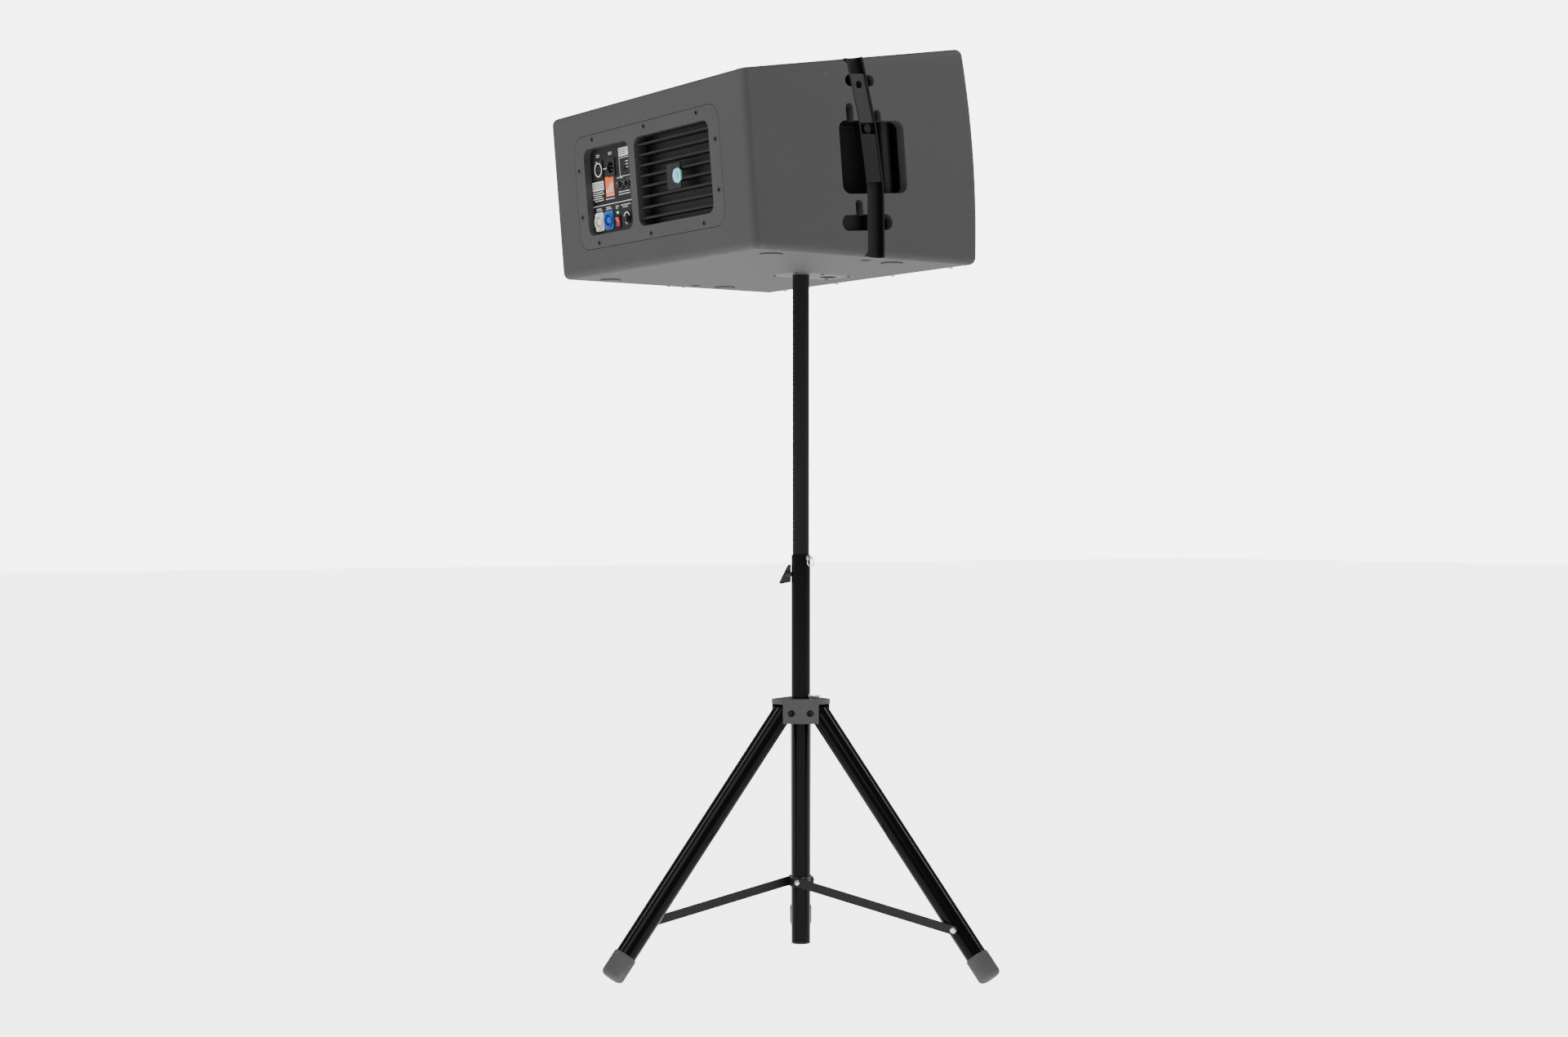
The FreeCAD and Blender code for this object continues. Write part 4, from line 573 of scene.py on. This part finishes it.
def grille(paint, foam):
    """The perforated front: a solid border with returned flanges round a field of hexagonal holes."""
    section = grille_section()
    sides = [-GRILLE_HALF_WIDTH, -FIELD_HALF_WIDTH, FIELD_HALF_WIDTH, GRILLE_HALF_WIDTH]
    points = [in_cabinet(side, line.x, line.y) for line in section for side in sides]
    faces = []
    for row in range(len(section) - 1):
        inside = max(abs(section[row].y), abs(section[row + 1].y)) < FIELD_HALF_HEIGHT
        for column in range(3):
            if not (inside and column == 1):
                first = row * 4 + column
                faces.append((first, first + 4, first + 5, first + 1))
    border = evaluated(
        mesh_of(points, faces, True, 40), ("SOLIDIFY", {"thickness": GRILLE_SHEET, "offset": -1}),
        ("BEVEL", {"width": 0.0003, "segments": 2, "limit_method": "ANGLE", "angle_limit": 0.7}))
    piece("grille_border", border, paint, "cabinet", ["grille"])
    field = evaluated(mesh_of([(0, 0, 0)], []), ("NODES", {
        "node_group": perforated_sheet(), "Columns": 84, "Rows": 58, "Pitch": 0.0064, "Web": 0.72,
        "Thickness": GRILLE_SHEET, "Material": paint}))
    piece("grille_mesh", bent_to_front(field, -GRILLE_SHEET - 0.0001), None, "cabinet")
    backing = []
    for row in range(25):
        for column in range(3):
            backing.append(((column - 1) * 0.266, (row / 24 - 0.5) * 0.318, -0.0045))
    faces = [(r * 3 + c, r * 3 + c + 1, r * 3 + c + 4, r * 3 + c + 3) for r in range(24) for c in range(2)]
    sheet = evaluated(bent_to_front(mesh_of(backing, faces, True)),
                      ("SOLIDIFY", {"thickness": 0.002, "offset": -1}))
    piece("grille_foam", sheet, foam, "cabinet")


# ------------------------------------------------------------------ fasteners
def fasteners(oxide):
    """The cabinet's screws."""
    places = []
    for across in (-0.162, -0.004, 0.162):
        for up in (-0.086, 0.086):
            places.append((in_cabinet(across, 0, up), turned_in_cabinet((0, 1, 0))))
    for up in (-0.039, 0.039):
        for across in (-0.211, 0.211):
            places.append((in_cabinet(across, 0, up), turned_in_cabinet((0, 1, 0))))
    inset = GRILLE_FLANGE * 0.55
    for across in (-0.2388, -0.0806, 0.0806, 0.2388):
        for sign in (-1, 1):
            at = in_cabinet(across, FRONT_CHORD + inset, sign * (FRONT_HALF - inset * math.tan(LEAN)))
            places.append((at, turned_in_cabinet((0, math.sin(LEAN), sign * math.cos(LEAN)))))
    for along in (0.032, -0.022, -0.076):
        for across in (-0.032, 0.032):
            places.append((Vector((across, along, 1.16)), (0, 0, -1)))
    heads = evaluated(points_with_way(places), ("NODES", {
        "node_group": socket_screws(), "Head Radius": 0.004, "Head Height": 0.0012, "Socket Radius": 0.0019,
        "Socket Depth": 0.0013, "Material": oxide}))
    piece("cabinet_screw_heads", heads, None, "cabinet", ["cabinet_screws"])


LEG_AZIMUTH = [math.radians(-34.9 + 120 * number) for number in range(3)]
RIVET_REACH, RIVET_LEVEL, BRACE_FACE = 0.29574, 0.08398, 0.0213


def brace_rivets(steel):
    """Round-headed rivets through the braces' outer ends, one piece for each brace."""
    for number, azimuth in enumerate(LEG_AZIMUTH, 1):
        way = Vector((math.cos(azimuth), math.sin(azimuth), 0))
        across = Vector((-way.y, way.x, 0))
        at = way * RIVET_REACH + Vector((0, 0, RIVET_LEVEL)) - across * BRACE_FACE
        heads = evaluated(points_with_way([(at, -across)]), ("NODES", {
            "node_group": socket_screws(), "Head Radius": 0.0052, "Head Height": 0.0015,
            "Socket Radius": 0.001, "Socket Depth": 0.0002, "Sides": 12, "Material": steel}))
        piece(f"brace_rivet_{number}", heads, None, f"brace_{number}")


# ------------------------------------------------------------------ connector panel
def on_panel(across, up, out=0.0):
    return in_cabinet(across / 1000, INPUT_FACE + out, up / 1000)


def flat_shape(corners, out):
    """A flat shape on the connector panel, from (across, up) corners in millimetres, facing out."""
    points = [on_panel(x, z, out) for x, z in corners]
    return points, [tuple(range(len(points)))]


def bar(x0, x1, z0, z1, out=0.00012):
    """A printed bar. Seen from behind the cabinet, across runs to the left."""
    return flat_shape([(x1, z0), (x0, z0), (x0, z1), (x1, z1)], out)


def ring(x, z, inner, outer, start=0.0, end=360.0, steps=40, out=0.00012):
    """A flat ring or part of one, drawn for print and for the painted highlight arcs round the breaker."""
    points, faces = [], []
    for step in range(steps + 1):
        turn = math.radians(start + (end - start) * step / steps)
        for reach in (inner, outer):
            points.append(on_panel(x - reach * math.cos(turn), z + reach * math.sin(turn), out))
    for step in range(steps):
        first = step * 2
        faces.append((first, first + 1, first + 3, first + 2))
    return points, faces


def dashes(x0, x1, z, sizes, height=1.5, out=0.00012):
    """A printed line of plain dashes that stands in for small lettering."""
    shapes, at = [], x1
    while at > x0:
        for size in sizes:
            if at - size >= x0:
                shapes.append(bar(at - size, at, z, z + height, out))
            at -= size + 1.1
    return joined(*shapes)


def box_outline(x0, x1, z0, z1, line=0.9):
    return joined(bar(x0, x1, z0, z0 + line), bar(x0, x1, z1 - line, z1),
                  bar(x0, x0 + line, z0 + line, z1 - line), bar(x1 - line, x1, z0 + line, z1 - line))


def connector_panel(white, orange, dark, steel, knob_plastic):
    """Everything printed on the connector panel, the painted highlight arcs on and round the breaker, the
    socket contacts and the fluted knobs.
    """
    flange = 0.00215
    print_and_glint_marks = [
        ring(166, 36, 9.8, 12.0, out=flange), bar(139.5, 152.5, 35.2, 36.8), bar(66, 193, -24.0, -22.8),
        dashes(160, 173, 60, (5, 4)), dashes(160, 173, 57, (3, 6, 2)), dashes(120, 133, 60, (4, 5)),
        dashes(120, 133, 57, (6, 3)), box_outline(68, 100, 17, 48), bar(70, 100, 50, 64),
        dashes(70, 80, 40, (4, 3)), dashes(70, 80, 35, (3, 4)), dashes(70, 80, 30, (4, 3)),
        dashes(88, 110, 15.5, (6, 4, 5)), dashes(70, 108, -8, (5, 7, 3)), dashes(70, 108, -12, (3, 4, 6)),
        bar(155, 192, 2, 17), dashes(155, 192, -1.5, (9, 5, 7)), dashes(155, 192, -5, (6, 8, 4)),
        dashes(155, 190, -8.5, (4, 9, 6)), dashes(155, 192, -12, (8, 3, 7)),
        dashes(155, 186, -15.5, (5, 5, 9)),
        dashes(120, 151, -15.5, (7, 5, 6)), dashes(164, 184, -29, (6, 8)), dashes(134, 152, -29, (5, 7)),
        dashes(164, 184, -32, (3, 6, 4)), dashes(134, 152, -32, (6, 3)), dashes(109, 121, -30, (4, 5)),
        dashes(72, 104, -30, (7, 5, 8)), dashes(78, 98, -33.5, (4, 3, 6)), dashes(109, 121, -33, (6,)),
        # painted highlights: white arcs on the breaker's raised rim and on the panel beside it
        ring(84, -52, 8.4, 10.2, 20, 160, out=0.00275), ring(84, -52, 9.8, 11.4, 200, 250),
    ]
    for x, z, reach in ((98, 4, 9.6), (77, 4, 8.2)):
        for step in range(11):
            turn = math.radians(-45 + 27 * step)
            near = (x - reach * math.cos(turn), z + reach * math.sin(turn))
            far = (x - (reach + 1.5) * math.cos(turn), z + (reach + 1.5) * math.sin(turn))
            side = (0.25 * math.sin(turn), 0.25 * math.cos(turn))
            print_and_glint_marks.append(flat_shape([
                (near[0] + side[0], near[1] + side[1]), (near[0] - side[0], near[1] - side[1]),
                (far[0] - side[0], far[1] - side[1]), (far[0] + side[0], far[1] + side[1])], 0.00012))
    print_and_glint_mesh(joined(*print_and_glint_marks), white, "panel_print_and_painted_glints")
    print_and_glint_mesh(joined(bar(122, 149, -11, 22)), orange, "panel_accent")
    levels = [bar(126 + 6 * step, 129.5 + 6 * step, -5, 1 + 4 * (3 - step), 0.0002) for step in range(4)]
    print_and_glint_mesh(joined(bar(124, 147, -9.5, -8, 0.0002), *levels), white, "panel_accent_bars")
    text = [dashes(72, 98, z, (6, 3, 8), 1.3, 0.0002) for z in (60, 56.5, 53)]
    text += [dashes(157, 190, z, (4, 7, 5), 1.2, 0.0002) for z in (13, 9.5, 6)]
    print_and_glint_mesh(joined(*text), dark, "panel_label_text")
    pins = []
    for turn in (90, 210, 330):
        across, up = 3.95 * math.cos(math.radians(turn)), 3.95 * math.sin(math.radians(turn))
        pins.append(lathe([(0.00124, -0.0118), (0.00124, -0.0006), (0.0006, 0.00006)], 12,
                          on_panel(126 - across, 36 - up), turned_in_cabinet((0, 1, 0))))
    piece("signal_loop_pins", mesh_of(*joined(*pins), True, 40), steel, "cabinet")
    for name, x, z, radius in (("gain_knob", 98, 4, 0.0075), ("trim_knob", 77, 4, 0.006)):
        fluted_knob(name, on_panel(x, z), radius, knob_plastic, white)


def print_and_glint_mesh(shape, material, name):
    piece(name, mesh_of(*shape), material, "cabinet")


def fluted_knob(name, at, radius, plastic, white):
    """A skirted knob with grip flutes and a pointer line."""
    out = turned_in_cabinet((0, 1, 0))
    shaft = 0.003
    profile = [(shaft, -0.0085), (shaft, 0.0004), (radius, 0.0004), (radius, 0.0018),
               (radius - 0.0011, 0.0026), (radius - 0.0016, 0.0032), (radius - 0.0018, 0.0078),
               (radius - 0.0024, 0.0086), (radius - 0.0034, 0.009)]

    def flutes(turn, reach):
        grip = reach < radius - 0.0012 and reach > shaft
        return reach - (0.00035 * (0.5 + 0.5 * math.cos(turn * math.tau * 18)) if grip else 0)

    points, faces = lathe(profile, 144, at, out, flutes)
    piece(f"{name}_body", mesh_of(points, faces, True, 35), plastic, name, [name])
    pointer = Matrix.Translation(at) @ IN_CABINET.to_3x3().to_4x4()
    reach, top = radius - 0.0036, 0.00908
    corners = [(0.0004, top, 0.001), (-0.0004, top, 0.001), (-0.0004, top, reach), (0.0004, top, reach)]
    line = mesh_of([pointer @ Vector(corner) for corner in corners], [(0, 1, 2, 3)])
    piece(f"{name}_pointer", line, white, name)


# ------------------------------------------------------------------ the stage, lights and camera
SKY_SEEN, SKY_LIGHT = 6.0, 0.36
FLOOR_SEEN, FLOOR_LIGHT = 4.6, 1.3


def pale_floor():
    """Matt white paper, lifted a little so that it runs into the backdrop."""
    paper = Finish("pale_paper_floor")
    fibre = paper.noise(60, 3)
    paper.done(Base_Color=paper.mix(fibre, grey(0.86), grey(0.9)), Roughness=0.9 - 0.05 * fibre,
               Emission_Color=(1, 1, 1, 1), Emission_Strength=FLOOR_LIGHT)
    seen = paper.add("ShaderNodeLightPath", output="Is Camera Ray")
    bright = paper.add("ShaderNodeEmission", {}, {"Strength": FLOOR_SEEN})
    lit = Link(paper, paper.shader.outputs["BSDF"])
    choice = paper.add("ShaderNodeMixShader", {}, {"Fac": seen, 1: lit, 2: bright})
    paper.tree.links.new(choice.socket, paper.tree.nodes["Material Output"].inputs["Surface"])
    return paper.material


def stage(floor_material):
    size = 30.0
    floor = bpy.data.objects.new("floor", mesh_of(
        [(-size, -size, 0), (size, -size, 0), (size, size, 0), (-size, size, 0)], [(0, 1, 2, 3)]))
    floor.data.materials.append(floor_material)
    bpy.context.scene.collection.objects.link(floor)
    world = bpy.data.worlds.new("studio")
    world.use_nodes = True
    bpy.context.scene.world = world
    sky = Graph(world.node_tree)
    seen = sky.add("ShaderNodeLightPath", output="Is Camera Ray")
    background = world.node_tree.nodes["Background"]
    background.inputs["Color"].default_value = (1, 1, 1, 1)
    strength = SKY_LIGHT + seen * (SKY_SEEN - SKY_LIGHT)
    world.node_tree.links.new(strength.socket, background.inputs["Strength"])


def soft_light(name, at, towards, size, power):
    lamp = bpy.data.lights.new(name, "AREA")
    lamp.shape, lamp.size, lamp.size_y, lamp.energy = "RECTANGLE", size[0], size[1], power
    thing = bpy.data.objects.new(name, lamp)
    thing.location = at
    thing.rotation_euler = (Vector(towards) - Vector(at)).to_track_quat("-Z", "Y").to_euler()
    bpy.context.scene.collection.objects.link(thing)


def camera():
    lens = bpy.data.cameras.new("camera")
    lens.lens, lens.sensor_width = 55.07, 36.0
    lens.clip_end = 100
    thing = bpy.data.objects.new("camera", lens)
    thing.location = (-3.316, 2.316, 0.750)
    thing.rotation_euler = Vector((0.8238, -0.5668, 0.0)).to_track_quat("-Z", "Y").to_euler()
    bpy.context.scene.collection.objects.link(thing)
    bpy.context.scene.camera = thing


# ------------------------------------------------------------------ putting it together
def paint_nodes(finishes):
    """Give every carried-over node its finish."""
    for node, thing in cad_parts.items():
        thing.data.materials.clear()
        thing.data.materials.append(finishes[node])


def main():
    camera()
    paint, panel = cabinet_paint(), powder_coat("satin_panel_coat", 0.044, 0.5)
    coat, black = powder_coat("grille_powder_coat", 0.05, 0.40), gloss_black()
    rail, pole, cast = powder_coat("black_rail_coat", 0.0035, 0.38), satin_pole(), hub_casting()
    boot, steel, oxide, foam = boot_rubber(), bright_steel(), black_oxide(), open_foam()
    plastic = moulded_plastic("black_moulding", grey(0.007))
    # The handle cups are black plastic, made darker than the other black mouldings as painted shade inside
    # the recessed cups.
    cup = moulded_plastic("handle_moulding_painted_shade", grey(0.004), 0.5)
    bar_coat, strap = powder_coat("link_bar_coat", 0.020, 0.42), powder_coat("brace_coat", 0.0015, 0.5)
    fins = anodised("black_anodised_fins", 0.008, (0.05, 1, 1))
    plate = anodised("black_anodised_plate", 0.007, (0.05, 1, 1))
    pulp, magnet, circuit = cone_pulp(), ferrite(), lacquered_board()
    finishes = {
        "cabinet_shell": paint, "front_baffle": paint, "grille": coat, "cabinet_screws": oxide,
        "woofer_frame": plate, "woofer_surround": foam, "woofer_cone": pulp, "dust_cap": pulp,
        "woofer_magnet": magnet, "horn_waveguide": plastic, "compression_drivers": magnet,
        "amp_panel": panel, "heat_sink": fins, "heat_sink_badge": badge_face(), "input_panel": plate,
        "power_lamp": lit_lens("green_lens", (0.1, 0.8, 0.3, 1), 0.6), "signal_input": plastic,
        "signal_loop": plastic, "latch_tab": steel,
        "power_outlet": moulded_plastic("pale_grey_moulding", grey(0.72)),
        "power_inlet": moulded_plastic("blue_moulding", (0.02, 0.11, 0.42, 1)),
        "power_rocker": moulded_plastic("red_moulding", (0.55, 0.02, 0.03, 1), 0.3),
        "gain_knob": plastic, "trim_knob": plastic, "mode_slider": plastic, "breaker_button": plastic,
        "amplifier_board": circuit, "power_supply_board": circuit,
        "rigging_rail_left": rail, "rigging_rail_right": rail,
        "link_bar_left": bar_coat, "link_bar_right": bar_coat,
        "link_pin_left": oxide, "link_pin_right": oxide, "handle_cup_left": cup, "handle_cup_right": cup,
        "socket_plate": panel, "pole_sockets": plate, "cabinet_pads": boot, "upper_pole": pole,
        "outer_tube": black, "tube_plug": plastic, "clamp_knob": plastic, "lock_pin": steel,
        "lock_pin_ring": steel, "hub_pin": steel, "leg_hub": cast, "hub_bolts": oxide, "lower_collar": rail,
        "collar_rivets": steel,
    }
    for number in (1, 2, 3):
        finishes.update({f"leg_{number}": black, f"foot_{number}": boot, f"brace_{number}": strap})
    paint_nodes(finishes)
    grille(coat, foam)
    fasteners(oxide)
    brace_rivets(steel)
    # The white ink also draws the breaker's painted highlight arcs.
    connector_panel(printed_ink("white_ink_and_painted_glints", grey(0.62)), printed_ink("orange_ink", (0.85, 0.13, 0.02, 1)),
                    printed_ink("dark_ink", grey(0.05)), steel, plastic)
    stage(pale_floor())
    soft_light("key", (-2.5, 3.5, 3.6), (0, 0, 1.0), (2.5, 2.0), 60)
    soft_light("left_strip", (0.9, 2.2, 3.2), (0, 0, 0.4), (0.25, 2.2), 60)
    soft_light("right_strip", (-1.4, -1.9, 3.2), (0, 0, 0.4), (0.25, 2.2), 60)


main()
